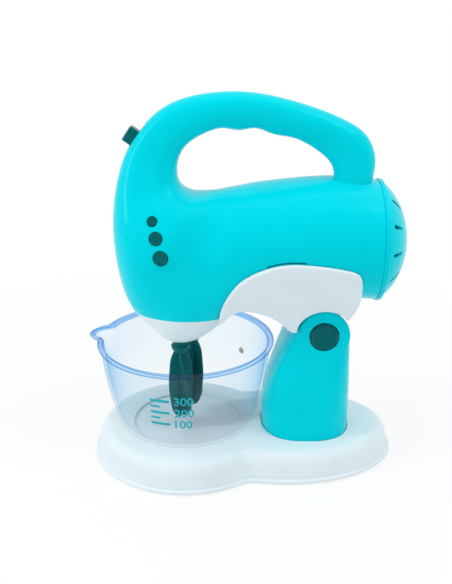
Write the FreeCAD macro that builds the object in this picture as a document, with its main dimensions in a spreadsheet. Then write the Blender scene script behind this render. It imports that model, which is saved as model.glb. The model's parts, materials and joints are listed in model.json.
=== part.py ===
"""Toy stand mixer: a tilting head with a hand grip, two beaters, a clear bowl and a two-lobed base.

Frame: millimetres, +Z up, the front of the mixer (nose and bowl) at -X, the side with the buttons at -Y.
The origin is on the ground under the middle of the overall length.
Sizes are kept in the sheet below; every piece is an object of the document and is written to parts/.
"""
import FreeCAD, Part
import math
import os
from types import SimpleNamespace

import Sketcher
from FreeCAD import Placement, Rotation, Vector

# Driving dimensions: name, value, what it is. Lengths in millimetres, angles in degrees.
SIZES = [
    ("BowlAxisX", -33, "bowl axis, along the mixer"),
    ("BowlRimRadius", 52.5, "outside of the bowl's lip"),
    ("BowlFloorRadius", 42.3, "outside of the bowl where its floor turns up"),
    ("BowlFootRadius", 22, "flat foot of the bowl"),
    ("BowlFloorTurn", 8.6, "height over which the bowl's floor turns up into its wall"),
    ("BowlHeight", 57, "bowl from foot to lip"),
    ("BowlWall", 1.8, "bowl wall and floor"),
    ("BowlLipHeight", 3.2, "height of the thicker lip"),
    ("BowlLipProud", 2.0, "how far the lip stands out of the wall"),
    ("BowlTurn", 10, "spout turned from straight ahead to the far side, as the bowl stands"),
    ("SpoutReach", 7.8, "how far the pouring spout stands out of the lip"),
    ("SpoutHalfAngle", 11.6, "half width of the spout, seen from the bowl axis"),
    ("SpoutDepth", 15, "height over which the spout fades into the wall"),
    ("BaseFrontRadius", 56.5, "round lobe of the base under the bowl"),
    ("BaseRearX", 27, "centre of the rear lobe"),
    ("BaseRearLength", 66, "half length of the rear lobe"),
    ("BaseRearWidth", 46, "half width of the rear lobe"),
    ("BaseBlend", 18, "sharpness of the waist between the lobes"),
    ("BaseHeight", 18, "top of the base above the ground"),
    ("BaseLift", 0.8, "rim of the base above the ground"),
    ("BaseLipHeight", 2.2, "height of the rim at the foot of the base"),
    ("BaseLipProud", 1.3, "how far the rim stands out"),
    ("BaseWall", 2.2, "wall of the base"),
    ("BowlSeatDepth", 1.2, "recess in the base that the bowl stands in"),
    ("SeatClearance", 0.5, "round the bowl's foot in its recess"),
    ("BottomPlate", 2.0, "thickness of the base's bottom plate"),
    ("FootRadius", 6, "rubber foot"),
    ("FootHeight", 1.6, "rubber foot, part of it in the plate"),
    ("ColumnX", 39.2, "middle of the column's foot"),
    ("ColumnLength", 26.2, "half length of the column's foot"),
    ("ColumnWidth", 27, "half width of the column's foot"),
    ("ColumnWall", 2.4, "wall of the column"),
    ("ColumnFlange", 2.0, "flange that keeps the column in the base"),
    ("ColumnGap", 0.4, "dark gap round the column in the base"),
    ("PivotX", 46.8, "tilt axis, along the mixer"),
    ("PivotHeight", 83, "tilt axis above the ground"),
    ("CheekRadius", 14.9, "round top of the column's cheeks"),
    ("CheekWidth", 22, "half width over the cheeks"),
    ("TiltClearance", 0.7, "between the column's cheeks and the cradle's arc"),
    ("ArcRise", 3, "the cradle's arc opens this far over the cheeks"),
    ("HubRadius", 12.6, "tilting hub between the cheeks"),
    ("HubClearance", 0.4, "hub to the cheeks, on each side"),
    ("PinRadius", 3, "pivot pin"),
    ("RunningClearance", 0.06, "shaft in its bore, on the radius"),
    ("ButtonRadius", 8.1, "pivot button"),
    ("ButtonGap", 0.5, "dark gap round the pivot button"),
    ("ButtonProud", 1.0, "pivot button above the cheek"),
    ("CradleGap", 0.4, "between the cradle and the head"),
    ("HeadWall", 2.2, "wall of the head shells"),
    ("NoseSplit", 94, "height where the white nose cup meets the head"),
    ("BarrelEndX", 75.5, "seam between the barrel and the rear cap"),
    ("BarrelHeight", 134, "barrel axis above the ground"),
    ("BarrelRadius", 34, "rear end of the barrel"),
    ("CapDepth", 17.5, "how far the rear cap bulges"),
    ("CapRing", 0.7, "raised ring at the cap's edge"),
    ("VentCount", 12, "slots in the rear cap"),
    ("VentRadius", 27.5, "middle of the slots from the barrel axis"),
    ("VentLength", 7, "length of a slot"),
    ("VentWidth", 2, "width of a slot"),
    ("BeaterOffsetX", 3, "beaters before and behind the bowl axis"),
    ("BeaterOffsetY", 7.4, "beaters beside the middle plane"),
    ("BeaterRadius", 8.3, "widest part of a beater's vanes"),
    ("BeaterBottom", 25.4, "lowest point of the beaters"),
    ("BeaterTop", 71.8, "top of the beater's collar"),
    ("CollarRadius", 5.3, "collar at the top of a beater"),
    ("StemRadius", 2.2, "stem of a beater in its socket"),
    ("VaneThickness", 1.7, "vane of a beater"),
    ("VaneTwist", 60, "twist of the vanes over their height"),
    ("SpindleRadius", 4.2, "spindle under a beater gear"),
    ("BeaterTeeth", 20, "teeth of a beater gear"),
    ("SmallTeeth", 14, "teeth of the small wheels"),
    ("LargeTeeth", 40, "teeth of the large reduction wheel"),
    ("FineModule", 0.5, "module of the motor stage"),
    ("Backlash", 0.16, "play between teeth"),
    ("GearHeight", 86, "underside of the beater gears"),
    ("GearWidth", 5, "width of the beater gears"),
    ("MotorRadius", 10, "motor can"),
    ("MotorLength", 25, "motor can"),
    ("CellRadius", 7.25, "battery cell"),
    ("CellLength", 50.5, "battery cell"),
    ("CellX", 15, "front end of the battery cells"),
    ("CellHeight", 114.6, "middle of the battery cells"),
    ("DoorLength", 50, "battery door"),
    ("DoorWidth", 31, "battery door"),
    ("DoorGap", 0.3, "round the battery door"),
    ("SwitchTravel", 5, "power switch, along the handle"),
    ("SwitchWidth", 7, "power switch, across the handle"),
    ("SwitchLength", 9.2, "power switch, along the handle"),
    ("SwitchProud", 5.5, "power switch above the handle"),
    ("KeyTravel", 0.8, "how far a speed button goes in"),
    ("KeyGap", 0.35, "gap round a speed button"),
    ("KeyProud", 0.7, "speed button above the shell"),
    ("KeyTurn", 8.5, "speed buttons face this far towards the front"),
    ("KeyRise", 4, "speed buttons face this far upwards"),
    ("ScrewRadius", 1.1, "screw thread"),
    ("ScrewHeadRadius", 2.5, "screw head"),
    ("BossRadius", 3.3, "screw boss"),
]

# Head stations: upper (x, z), lower or outer (x, z), half width, roundness (2 is an ellipse).
# They follow the barrel's circular rear end, to the nose, up its front, over the handle and down into
# the barrel again.
HEAD_STATIONS = [
    ((62, 169.8), (62, 101), 34, 2.0),
    ((48, 170.4), (46, 102.2), 33.6, 2.0),
    ((33, 169.6), (29, 103), 33.2, 2.0),
    ((18, 168), (13, 102.6), 33, 2.0),
    ((6, 166.4), (1.5, 98.5), 32.4, 2.0),
    ((-2, 164.8), (-6.5, 90), 31.4, 2.05),
    ((-7, 163.9), (-17, 80.4), 30.6, 2.1),
    ((-10.5, 163.2), (-29, 73.2), 30, 2.15),
    ((-13.5, 162.6), (-42, 73.2), 30, 2.2),
    ((-16.5, 162.2), (-53, 82.5), 30.2, 2.2),
    ((-19.5, 161.8), (-63.4, 94.5), 30.4, 2.25),
    ((-23, 161.4), (-69.3, 111), 29.6, 2.3),
    ((-27, 161.6), (-72, 129), 27, 2.35),
    ((-31.2, 163.4), (-72.4, 146), 22.5, 2.4),
    ((-34.4, 167), (-70.9, 160), 17.5, 2.4),
    ((-35.9, 173), (-67.7, 173.6), 13.5, 2.4),
    ((-34.9, 180.5), (-62.6, 186.2), 11.2, 2.35),
    ((-31.5, 186.8), (-54.7, 197.4), 10, 2.3),
    ((-26, 191.4), (-44, 207.2), 9.4, 2.25),
    ((-18.5, 195.2), (-29.5, 213.5), 9.1, 2.2),
    ((-9.5, 197), (-13.5, 216.1), 9, 2.2),
    ((-1.5, 196), (-1, 216.4), 9, 2.2),
    ((7, 197), (10.5, 215.2), 9, 2.2),
    ((16, 194), (22, 212.8), 9, 2.2),
    ((25, 192.4), (34, 209.5), 9, 2.2),
    ((33, 189.6), (46, 205.4), 9.1, 2.2),
    ((40.5, 185.2), (58, 200), 9.2, 2.2),
    ((46.8, 180), (67.5, 193), 9.4, 2.2),
    ((50.2, 173.5), (72.8, 181), 9.8, 2.2),
    ((50.6, 165), (72, 169), 10.2, 2.2),
    ((51.2, 155), (71, 157), 10, 2.2),
]
HANDLE_TOP = 22
STATION_POINTS = 16
BASE_POINTS = 48

# Cradle seen from the side: its upper edge from the front tip to the rear, then its lower edge.
CRADLE_UPPER = [(-13.1, 91.2), (-11.9, 100.6), (-7.4, 111.3), (-1.8, 118.8), (4, 123.2), (12, 127),
                (19.4, 129.2), (28.8, 130), (38.2, 129.4), (49.5, 128), (58.4, 126.2)]
CRADLE_REAR = [(58.4, 126.2), (62.6, 124), (64.8, 116.6), (64.4, 107), (61.2, 98), (58.8, 93.4)]
CRADLE_LOWER = [(30, 85.6), (28.2, 85.9), (24.2, 89.6), (19.3, 94.3), (13.4, 98), (5.7, 100.4), (-1, 100.8),
                (-8, 96.4), (-13.1, 91.2)]
# Half width of the cradle at each height.
CRADLE_WIDTH = [(22.4, 76), (22.6, 84), (25.6, 92), (28.8, 100), (31.2, 108), (33, 116), (34.6, 124),
                (35.4, 131)]

# Column sections: height, front end, rear end, half width, roundness, up to the tilt axis.
COLUMN_SECTIONS = [(28, 12.5, 65.3, 26.6, 2.6), (39, 13.8, 65.1, 26, 2.8), (50, 16.4, 64.6, 25.2, 3.2),
                   (62, 20.4, 63.9, 24, 3.8), (72, 24.4, 63.3, 23, 4.6), (84.6, 30.4, 62.2, 21.9, 5.6)]
FOOT_ROUNDNESS = 2.5

# Speed buttons: node name, radius, place on the near side of the nose.
KEYS = [("speed_button_small", 2.6, -48.5, 151.6), ("speed_button_medium", 3.5, -46.6, 143),
        ("speed_button_large", 3.9, -44.2, 132.6)]
# Screws that hold the head shells and the column shells: x, z, and the depth of the head from the middle.
HEAD_SCREWS = [(-4, 206.3, 3.5), (-61.5, 141, 9), (6, 152, 14), (66, 150, 14)]
COLUMN_SCREWS = [(40, 38, 12), (40, 58, 12)]
BASE_SCREWS = [(-70, 22), (-70, -22), (70, 24), (70, -24)]
BASE_FEET = [(-62, 36), (-62, -36), (58, 27), (58, -27)]

doc = FreeCAD.newDocument("toy_stand_mixer")
sheet = doc.addObject("Spreadsheet::Sheet", "Sizes")
for row, (alias, value, meaning) in enumerate(SIZES, 1):
    sheet.set("A%d" % row, meaning)
    sheet.set("B%d" % row, str(value))
    sheet.setAlias("B%d" % row, alias)
doc.recompute()
V = SimpleNamespace(**{alias: float(sheet.get(alias)) for alias, value, meaning in SIZES})

UP = Vector(0, 0, 1)
ALONG = Vector(1, 0, 0)
ACROSS = Vector(0, 1, 0)
FAR = 200
PARTS = []


def turn_to(direction):
    """Rotation that takes the Z axis to a direction."""
    return Rotation(UP, direction)


def piece(name, shape, place=Placement()):
    """A sub-part whose shape is worked out here from the sheet's values."""
    feature = doc.addObject("Part::Feature", name)
    feature.Label = name
    feature.Shape = shape
    feature.Placement = place
    PARTS.append(feature)
    return feature


def keep(feature, name):
    """A sub-part made by the document's own features."""
    feature.Label = name
    PARTS.append(feature)
    return feature


def bound_cylinder(name, radius, height, place, direction=UP):
    """A cylinder of the document with its radius and height bound to the sheet."""
    solid = doc.addObject("Part::Cylinder", name)
    solid.setExpression("Radius", radius)
    solid.setExpression("Height", height)
    solid.Placement = Placement(place, turn_to(direction))
    return solid


def bound_fuse(name, features):
    """The union of document objects."""
    union = doc.addObject("Part::MultiFuse", name)
    union.Shapes = features
    return union


def sketch_on(body, name, role):
    """A sketch on one of the body's origin planes."""
    sketch = body.newObject("Sketcher::SketchObject", name)
    plane = [f for f in body.Origin.OriginFeatures if f.Role == role][0]
    sketch.AttachmentSupport = [(plane, "")]
    sketch.MapMode = "FlatFace"
    return sketch


def disc_body(name, steps, place, direction=UP, edge=0.0):
    """A PartDesign body of stacked discs: each step is a radius and a top height, both expressions.

    The discs are padded one after the other from the same plane, so that a later one may be longer.
    """
    body = doc.addObject("PartDesign::Body", name)
    for number, (radius, height) in enumerate(steps):
        sketch = sketch_on(body, "%s_ring_%d" % (name, number), "XY_Plane")
        sketch.addGeometry(Part.Circle(Vector(), UP, 1 + number), False)
        sketch.addConstraint(Sketcher.Constraint("Coincident", 0, 3, -1, 1))
        index = sketch.addConstraint(Sketcher.Constraint("Radius", 0, 1 + number))
        sketch.renameConstraint(index, "Radius")
        sketch.setExpression("Constraints.Radius", radius)
        pad = body.newObject("PartDesign::Pad", "%s_pad_%d" % (name, number))
        pad.Profile = sketch
        pad.setExpression("Length", height)
        doc.recompute()
    if edge:
        top = max(body.Shape.Edges, key=lambda e: e.BoundBox.ZMin)
        index = [e.isSame(top) for e in body.Shape.Edges].index(True) + 1
        fillet = body.newObject("PartDesign::Fillet", name + "_edge")
        fillet.Base = (pad, ["Edge%d" % index])
        fillet.Radius = edge
        body.Tip = fillet
    body.Placement = Placement(place, turn_to(direction))
    doc.recompute()
    return body


def cylinder(radius, start, end):
    """A solid cylinder between two points."""
    axis = end - start
    return Part.makeCylinder(radius, axis.Length, start, axis)


def block(x0, x1, y0, y1, z0, z1):
    """A solid box between two corners."""
    return Part.makeBox(x1 - x0, y1 - y0, z1 - z0, Vector(x0, y0, z0))


def smooth_ring(points):
    """A closed smooth wire through points."""
    curve = Part.BSplineCurve()
    knots = [i / len(points) for i in range(len(points) + 1)]
    curve.interpolate(Points=points, PeriodicFlag=True, Parameters=knots)
    return Part.Wire([curve.toShape()])


def smooth_edge(points):
    """An open smooth edge through points."""
    curve = Part.BSplineCurve()
    curve.interpolate(Points=points)
    return curve.toShape()


def superellipse(angle, power):
    """Point of a unit superellipse: cosine and sine, each to the power two over the roundness."""
    c, s = math.cos(angle), math.sin(angle)
    return (math.copysign(abs(c) ** (2 / power), c), math.copysign(abs(s) ** (2 / power), s))


def station_row(station, grow):
    """Points of half a head section at one station, from its upper to its lower end at the near side."""
    (x0, z0), (x1, z1), half_width, power = station
    inner, outer = Vector(x0, 0, z0), Vector(x1, 0, z1)
    centre = (inner + outer) / 2
    reach = (inner - outer).Length / 2
    axis = (inner - outer).normalize()
    points = []
    for i in range(STATION_POINTS // 2 + 1):
        c, s = superellipse(2 * math.pi * i / STATION_POINTS, power)
        side = s if 0 < i < STATION_POINTS // 2 else 0
        points.append(centre + axis * (c * (reach + grow)) - ACROSS * (side * (half_width + grow)))
    return points


def half_solid(surface):
    """Solid between a curved surface whose long edges lie in the middle plane, and that plane."""
    skin = surface.toShape()
    u0, u1, v0, v1 = surface.bounds()
    upper, lower = surface.vIso(v0).toShape(), surface.vIso(v1).toShape()
    first, last = surface.uIso(u0).toShape(), surface.uIso(u1).toShape()
    chords = [Part.makeLine(surface.value(u, v0), surface.value(u, v1)) for u in (u0, u1)]
    flat = Part.Face(Part.Wire(Part.__sortEdges__([upper, chords[1], lower, chords[0]])))
    ends = [Part.Face(Part.Wire([curve, chord])) for curve, chord in zip((first, last), chords)]
    shell = Part.Shell([skin, flat] + ends)
    shell.sewShape()
    solid = Part.Solid(Part.Shell(shell.Faces))
    return solid if solid.Volume > 0 else solid.reversed()


def near_head(grow):
    """The near half of the head as a solid ring round the hand hole, grown outwards by a distance."""
    top, bottom = V.BarrelHeight + V.BarrelRadius, V.BarrelHeight - V.BarrelRadius
    rear = ((V.BarrelEndX, top), (V.BarrelEndX, bottom), V.BarrelRadius, 2.0)
    skin = Part.BSplineSurface()
    skin.interpolate([station_row(s, grow) for s in [rear] + HEAD_STATIONS])
    knots = skin.getUKnots()
    halves = []
    for start, end in ((knots[0], knots[HANDLE_TOP]), (knots[HANDLE_TOP], knots[-1])):
        part = skin.copy()
        u0, u1, v0, v1 = skin.bounds()
        part.segment(start, end, v0, v1)
        halves.append(half_solid(part))
    return halves[0].fuse(halves[1])


def prism(wire, direction):
    """A face pushed along a vector."""
    return Part.Face(wire).extrude(direction)


def gear_outline(teeth, module, phase):
    """Involute spur gear as a closed polygon with a tooth centred on the phase angle."""
    pitch = module * teeth / 2
    base = pitch * math.cos(math.radians(20))
    root, tip = pitch - 1.2 * module, pitch + 0.9 * module
    involute = math.tan(math.radians(20)) - math.radians(20)
    half = math.pi / (2 * teeth) - V.Backlash / (2 * pitch)
    points = []
    for tooth in range(teeth):
        middle = phase + 2 * math.pi * tooth / teeth
        flank = []
        for i in range(4):
            radius = max(base, root) + (tip - max(base, root)) * i / 3
            roll = math.acos(min(1.0, base / radius))
            flank.append((radius, half + involute - (math.tan(roll) - roll)))
        flank.insert(0, (root, flank[0][1]))
        for radius, angle in [(r, -a) for r, a in flank] + flank[::-1]:
            points.append(Vector(radius * math.cos(middle + angle), radius * math.sin(middle + angle), 0))
    return Part.makePolygon(points + [points[0]])


def gear(teeth, module, phase, centre, bottom, width):
    """A spur gear standing on a height."""
    solid = prism(gear_outline(int(teeth), module, phase), Vector(0, 0, width))
    solid.translate(Vector(centre.x, centre.y, bottom))
    return solid


def meshing_phase(phase, teeth, line, other_teeth):
    """Phase of a gear that meshes with another one across a line of centres."""
    pitch = 2 * math.pi / teeth
    lag = (line - phase) % pitch
    return line + math.pi + math.pi / other_teeth + lag * teeth / other_teeth


def screw(place, direction, length):
    """A screw whose head stands on a place, with its thread along a direction."""
    thread = cylinder(V.ScrewRadius - 0.05, place, place + direction * length)
    head = cylinder(V.ScrewHeadRadius, place - direction * 1.7, place)
    slot = Part.makeBox(1.0, 2 * V.ScrewHeadRadius - 1.4, 0.8, Vector(-0.5, 0.7 - V.ScrewHeadRadius, 0))
    slot = slot.fuse(slot.rotated(Vector(), UP, 90))
    slot.Placement = Placement(place - direction * 1.7, turn_to(direction))
    return thread.fuse(head).cut(slot)


def base_radius(angle, shrink):
    """Distance from the origin to the base's outline: a smooth larger-of of a circle and an ellipse."""
    c, s = math.cos(angle), math.sin(angle)
    along = V.BowlAxisX * c
    circle = V.BaseFrontRadius - shrink
    to_circle = along + math.sqrt(along ** 2 - V.BowlAxisX ** 2 + circle ** 2)
    length, width = V.BaseRearLength - shrink, V.BaseRearWidth - shrink
    a = (c / length) ** 2 + (s / width) ** 2
    b = V.BaseRearX * c / length ** 2
    to_ellipse = (b + math.sqrt(b ** 2 - a * ((V.BaseRearX / length) ** 2 - 1))) / a
    return (to_circle ** V.BaseBlend + to_ellipse ** V.BaseBlend) ** (1 / V.BaseBlend)


def base_ring(shrink, height):
    """The base's outline at a height."""
    points = []
    for i in range(BASE_POINTS):
        angle = 2 * math.pi * i / BASE_POINTS
        radius = base_radius(angle, shrink)
        points.append(Vector(radius * math.cos(angle), radius * math.sin(angle), height))
    return smooth_ring(points)


def base_solid(shrink, top, bottom):
    """The base's body: a sloped wall that rounds over to a flat top."""
    rise = top - bottom
    profile = [(0, 0), (0.9, 0.35), (1.9, 0.62), (3.4, 0.82), (5.9, 0.95), (9.5, 1.0)]
    return Part.makeLoft([base_ring(V.BaseLipProud + inset + shrink, bottom + rise * share)
                          for inset, share in profile], True, False, False)


def oval_ring(front, rear, half_width, height, grow, roundness=FOOT_ROUNDNESS):
    """Column section at a height."""
    centre, half_length = (front + rear) / 2, (rear - front) / 2
    points = []
    for i in range(STATION_POINTS):
        c, s = superellipse(2 * math.pi * i / STATION_POINTS, roundness)
        points.append(Vector(centre + c * (half_length + grow), s * (half_width + grow), height))
    return smooth_ring(points)


def column_solid(grow, bottom):
    """The column's body up to the cheeks, without the round top."""
    foot_front, foot_rear = V.ColumnX - V.ColumnLength, V.ColumnX + V.ColumnLength
    rings = [oval_ring(foot_front, foot_rear, V.ColumnWidth, height, grow)
             for height in (bottom, (bottom + V.BaseHeight) / 2, V.BaseHeight + 1)]
    for height, front, rear, half_width, roundness in COLUMN_SECTIONS:
        rings.append(oval_ring(front, rear, half_width, height, grow, roundness))
    return Part.makeLoft(rings, True, False, False)


def polar_bowl(wall_offset, levels, ruled=False):
    """Loft through the bowl's outlines: circles that swell into the spout towards the front."""
    rings = []
    for radius, height, spout in levels:
        points = []
        for i in range(72):
            angle = 2 * math.pi * i / 72
            off = abs(math.degrees(angle) - 180 + V.BowlTurn) / V.SpoutHalfAngle
            swell = spout * max(0, 1 - off ** 2)
            reach = radius - wall_offset + swell
            points.append(Vector(V.BowlAxisX + reach * math.cos(angle), reach * math.sin(angle), height))
        rings.append(smooth_ring(points))
    return Part.makeLoft(rings, True, ruled, False)


def bowl_foot(bottom, end_radius):
    """Levels of the bowl's lower edge: a quarter ellipse from the flat foot to the wall."""
    levels = []
    for i in range(7):
        angle = math.pi / 2 * i / 6
        radius = V.BowlFootRadius + (end_radius - V.BowlFootRadius) * math.sin(angle)
        levels.append((radius, bottom + V.BowlFloorTurn * (1 - math.cos(angle)), 0))
    return levels


# Base
plate_bottom = V.BaseLift
plate_top = plate_bottom + V.BottomPlate
seat_top = V.BaseHeight - V.BowlSeatDepth
bowl_axis = Vector(V.BowlAxisX, 0, 0)
seat_share = math.sqrt(1 - (1 - V.BowlSeatDepth / V.BowlFloorTurn) ** 2)
seat_radius = V.BowlFootRadius + (V.BowlFloorRadius - V.BowlFootRadius) * seat_share + V.SeatClearance


def make_base():
    """White base shell, open below, with the bowl's seat, the column's hole and four screw bosses."""
    shell = base_solid(0, V.BaseHeight, V.BaseLift)
    rim = Part.makeLoft([base_ring(0, V.BaseLift), base_ring(0, V.BaseLift + V.BaseLipHeight * 0.6),
                         base_ring(V.BaseLipProud + 0.4, V.BaseLift + V.BaseLipHeight)], True, True, False)
    hollow = base_solid(V.BaseWall, V.BaseHeight - V.BaseWall, V.BaseLift)
    foot = prism(base_ring(V.BaseLipProud + V.BaseWall, V.BaseLift - 1), Vector(0, 0, V.BottomPlate + 1))
    shell = shell.fuse(rim).cut(hollow).cut(foot)
    floor = cylinder(seat_radius + V.BaseWall, bowl_axis + UP * (seat_top - V.BaseWall),
                     bowl_axis + UP * (V.BaseHeight - V.BaseWall / 2))
    shell = shell.fuse(floor).cut(cylinder(seat_radius, bowl_axis + UP * seat_top, bowl_axis + UP * FAR))
    for x, y in BASE_SCREWS:
        foot_point = Vector(x, y, plate_top)
        top = Vector(x, y, V.BaseHeight - V.BaseWall / 2)
        boss = cylinder(V.BossRadius, foot_point, top).common(base_solid(0, V.BaseHeight, V.BaseLift))
        shell = shell.fuse(boss).cut(cylinder(V.ScrewRadius, foot_point - UP, foot_point + UP * 8))
    front, rear = V.ColumnX - V.ColumnLength, V.ColumnX + V.ColumnLength
    hole = prism(oval_ring(front, rear, V.ColumnWidth, 0, V.ColumnGap), Vector(0, 0, FAR))
    return shell.cut(hole)


def make_bottom_plate():
    """Plate that closes the base, with screw holes and pockets for the feet."""
    plate = prism(base_ring(V.BaseLipProud + V.BaseWall + 0.2, plate_bottom), Vector(0, 0, V.BottomPlate))
    for x, y in BASE_SCREWS:
        plate = plate.cut(cylinder(V.ScrewRadius + 0.2, Vector(x, y, 0), Vector(x, y, plate_top + 1)))
        plate = plate.cut(cylinder(V.ScrewHeadRadius + 0.3, Vector(x, y, 0), Vector(x, y, plate_bottom + 1.2)))
    for x, y in BASE_FEET:
        plate = plate.cut(cylinder(V.FootRadius, Vector(x, y, 0), Vector(x, y, V.FootHeight)))
    return plate


piece("base_shell", make_base())
piece("base_bottom_plate", make_bottom_plate())
feet = [bound_cylinder("foot_%d" % i, "Sizes.FootRadius", "Sizes.FootHeight", Vector(x, y, 0))
        for i, (x, y) in enumerate(BASE_FEET)]
keep(bound_fuse("base_feet", feet), "base_feet")
piece("base_screws", Part.makeCompound([screw(Vector(x, y, plate_bottom + 1.2), UP, 7)
                                        for x, y in BASE_SCREWS]))

# Column and its tilt axis
pivot = Vector(V.PivotX, 0, V.PivotHeight)
hub_half = V.CheekWidth - V.ColumnWall - V.HubClearance
well_radius = V.ButtonRadius + V.ButtonGap
boss_outer = well_radius + 1.8
boss_floor = -(hub_half - 9.5)
neck_half = V.HubRadius * 0.68


def at_pivot(y):
    """Point of the tilt axis at a place across the mixer."""
    return pivot + ACROSS * y


def make_column():
    """Both column shells: a hollow foot, two cheeks with round tops and the bearings of the tilt axis."""
    outer = column_solid(0, plate_top)
    outer = outer.fuse(cylinder(V.CheekRadius, at_pivot(-V.CheekWidth), at_pivot(V.CheekWidth)))
    flange_top = V.BaseHeight - V.BaseWall - 0.3
    front, rear = V.ColumnX - V.ColumnLength, V.ColumnX + V.ColumnLength
    flange = prism(oval_ring(front, rear, V.ColumnWidth, flange_top - 3, V.ColumnFlange), Vector(0, 0, 3))
    outer = outer.fuse(flange)
    inner_half = hub_half + V.HubClearance
    hollow = column_solid(-V.ColumnWall, plate_top)
    slot_bottom = V.PivotHeight - 4
    slot = block(V.PivotX - neck_half - 1, FAR, -inner_half, inner_half, slot_bottom, FAR)
    room = cylinder(V.HubRadius + 1, at_pivot(-inner_half), at_pivot(inner_half))
    body = outer.cut(hollow).cut(slot).cut(room)
    near_boss = cylinder(boss_outer, at_pivot(-V.CheekWidth + 0.5), at_pivot(boss_floor))
    far_boss = cylinder(V.PinRadius + 2.4, at_pivot(hub_half - 2.6), at_pivot(V.CheekWidth - 0.5))
    body = body.fuse(near_boss).fuse(far_boss)
    body = body.cut(cylinder(well_radius, at_pivot(-FAR), at_pivot(boss_floor - 2)))
    body = body.cut(cylinder(V.PinRadius, at_pivot(-FAR), at_pivot(FAR)))
    body = body.cut(cylinder(V.PinRadius + 2, at_pivot(V.CheekWidth - 1.2), at_pivot(FAR)))
    for x, z, head in COLUMN_SCREWS:
        boss = cylinder(V.BossRadius, Vector(x, -FAR, z), Vector(x, FAR, z))
        body = body.fuse(boss.common(column_solid(-V.ColumnWall / 2, plate_top)))
        body = body.cut(cylinder(V.ScrewRadius, Vector(x, -8, z), Vector(x, 0, z)))
        body = body.cut(cylinder(V.ScrewRadius + 0.25, Vector(x, 0, z), Vector(x, FAR, z)))
        body = body.cut(cylinder(V.ScrewHeadRadius + 0.4, Vector(x, head, z), Vector(x, FAR, z)))
    return body


column = make_column()
piece("column_near_shell", column.common(block(-FAR, FAR, -FAR, 0, 0, FAR)))
piece("column_far_shell", column.common(block(-FAR, FAR, 0, FAR, 0, FAR)))
piece("column_screws", Part.makeCompound([screw(Vector(x, head, z), -ACROSS, head + 6)
                                          for x, z, head in COLUMN_SCREWS]))
pin = cylinder(V.PinRadius, at_pivot(boss_floor - 1.9), at_pivot(V.CheekWidth - 1.2))
pin = pin.fuse(cylinder(V.PinRadius + 1.8, at_pivot(V.CheekWidth - 1.2), at_pivot(V.CheekWidth)))
piece("pivot_pin", pin)

button_back = -(V.CheekWidth + V.ButtonProud - 4.5)
button_front = -(V.CheekWidth + V.ButtonProud)
keep(disc_body("pivot_button", [("Sizes.ButtonRadius", "4.5")], at_pivot(button_back), -ACROSS, 0.8),
     "pivot_button")


def make_spring(radius, wire, room, turns):
    """A small compression spring along the Z axis, one unbroken wire that fills the room for it."""
    rise = room - 2 * wire
    steps = turns * 24
    rings = []
    for i in range(steps + 1):
        angle = 2 * math.pi * turns * i / steps
        out = Vector(math.cos(angle), math.sin(angle), 0)
        along = Vector(-radius * out.y, radius * out.x, rise / (2 * math.pi * turns)).normalize()
        centre = out * radius + UP * (rise * i / steps)
        side = along.cross(out)
        corners = [centre + out * wire * math.cos(math.pi * k / 4) + side * wire * math.sin(math.pi * k / 4)
                   for k in range(8)]
        rings.append(Part.makePolygon(corners + [corners[0]]))
    return Part.makeLoft(rings, True, True, False)


SPRING_WIRE = 0.5
spring_start = button_back + 0.1
piece("pivot_button_spring", make_spring(5.6, SPRING_WIRE, boss_floor - 2.1 - spring_start, 4),
      Placement(at_pivot(spring_start + SPRING_WIRE), turn_to(ACROSS)))


# Head: shells, nose cup and rear cap
MIDDLE = Vector(0, 0, 0)


def both_sides(near):
    """A near half joined to its mirror image."""
    return near.fuse(near.mirror(MIDDLE, ACROSS))


near_outer = near_head(0)
near_inner = near_head(-V.HeadWall)
near_room = near_head(-V.HeadWall - 0.2)
near_skin = near_outer.cut(near_inner)
below_split = block(-FAR, 10, -FAR, FAR, 0, V.NoseSplit)
door_end = V.CellX + V.DoorLength
door_half = V.DoorWidth / 2
door_cut = block(V.CellX, door_end, -door_half, door_half, 0, V.CellHeight)


def frame_at(point, run):
    """Switch frame in the middle plane: a place on the skin, the run along it and the way out of it."""
    return point, run, Vector(-run.z, 0, run.x)


def slab(frame, along, out, across):
    """A solid box in the switch frame, from pairs of limits along, out of and across the handle."""
    place, run, away = frame
    corners = [place + run * a + away * b + ACROSS * across[0]
               for a, b in ((along[0], out[0]), (along[1], out[0]), (along[1], out[1]), (along[0], out[1]))]
    return prism(Part.makePolygon(corners + [corners[0]]), ACROSS * (across[1] - across[0]))


lower, upper = HEAD_STATIONS[16][1], HEAD_STATIONS[17][1]
run = Vector(upper[0] - lower[0], 0, upper[1] - lower[1]).normalize()
switch_place = Vector((lower[0] + upper[0]) / 2, 0, (lower[1] + upper[1]) / 2)
switch_frame = frame_at(switch_place, run)
switch_half = V.SwitchLength / 2
slot = slab(switch_frame, (-switch_half - 0.3, switch_half + V.SwitchTravel + 0.3), (-V.HeadWall * 2, 9),
            (-V.SwitchWidth / 2 - 0.3, V.SwitchWidth / 2 + 0.3))


def skin_point(x, z):
    """Place on the near side of the head."""
    line = Part.makeLine(Vector(x, -FAR, z), Vector(x, 0, z))
    return Vector(x, near_outer.common(line).BoundBox.YMin, z)


turn, rise = math.radians(V.KeyTurn), math.radians(V.KeyRise)
key_out = Vector(-math.sin(turn) * math.cos(rise), -math.cos(turn) * math.cos(rise), math.sin(rise))
key_back = V.HeadWall + 3.0
key_places = {name: skin_point(x, z) for name, radius, x, z in KEYS}


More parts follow.
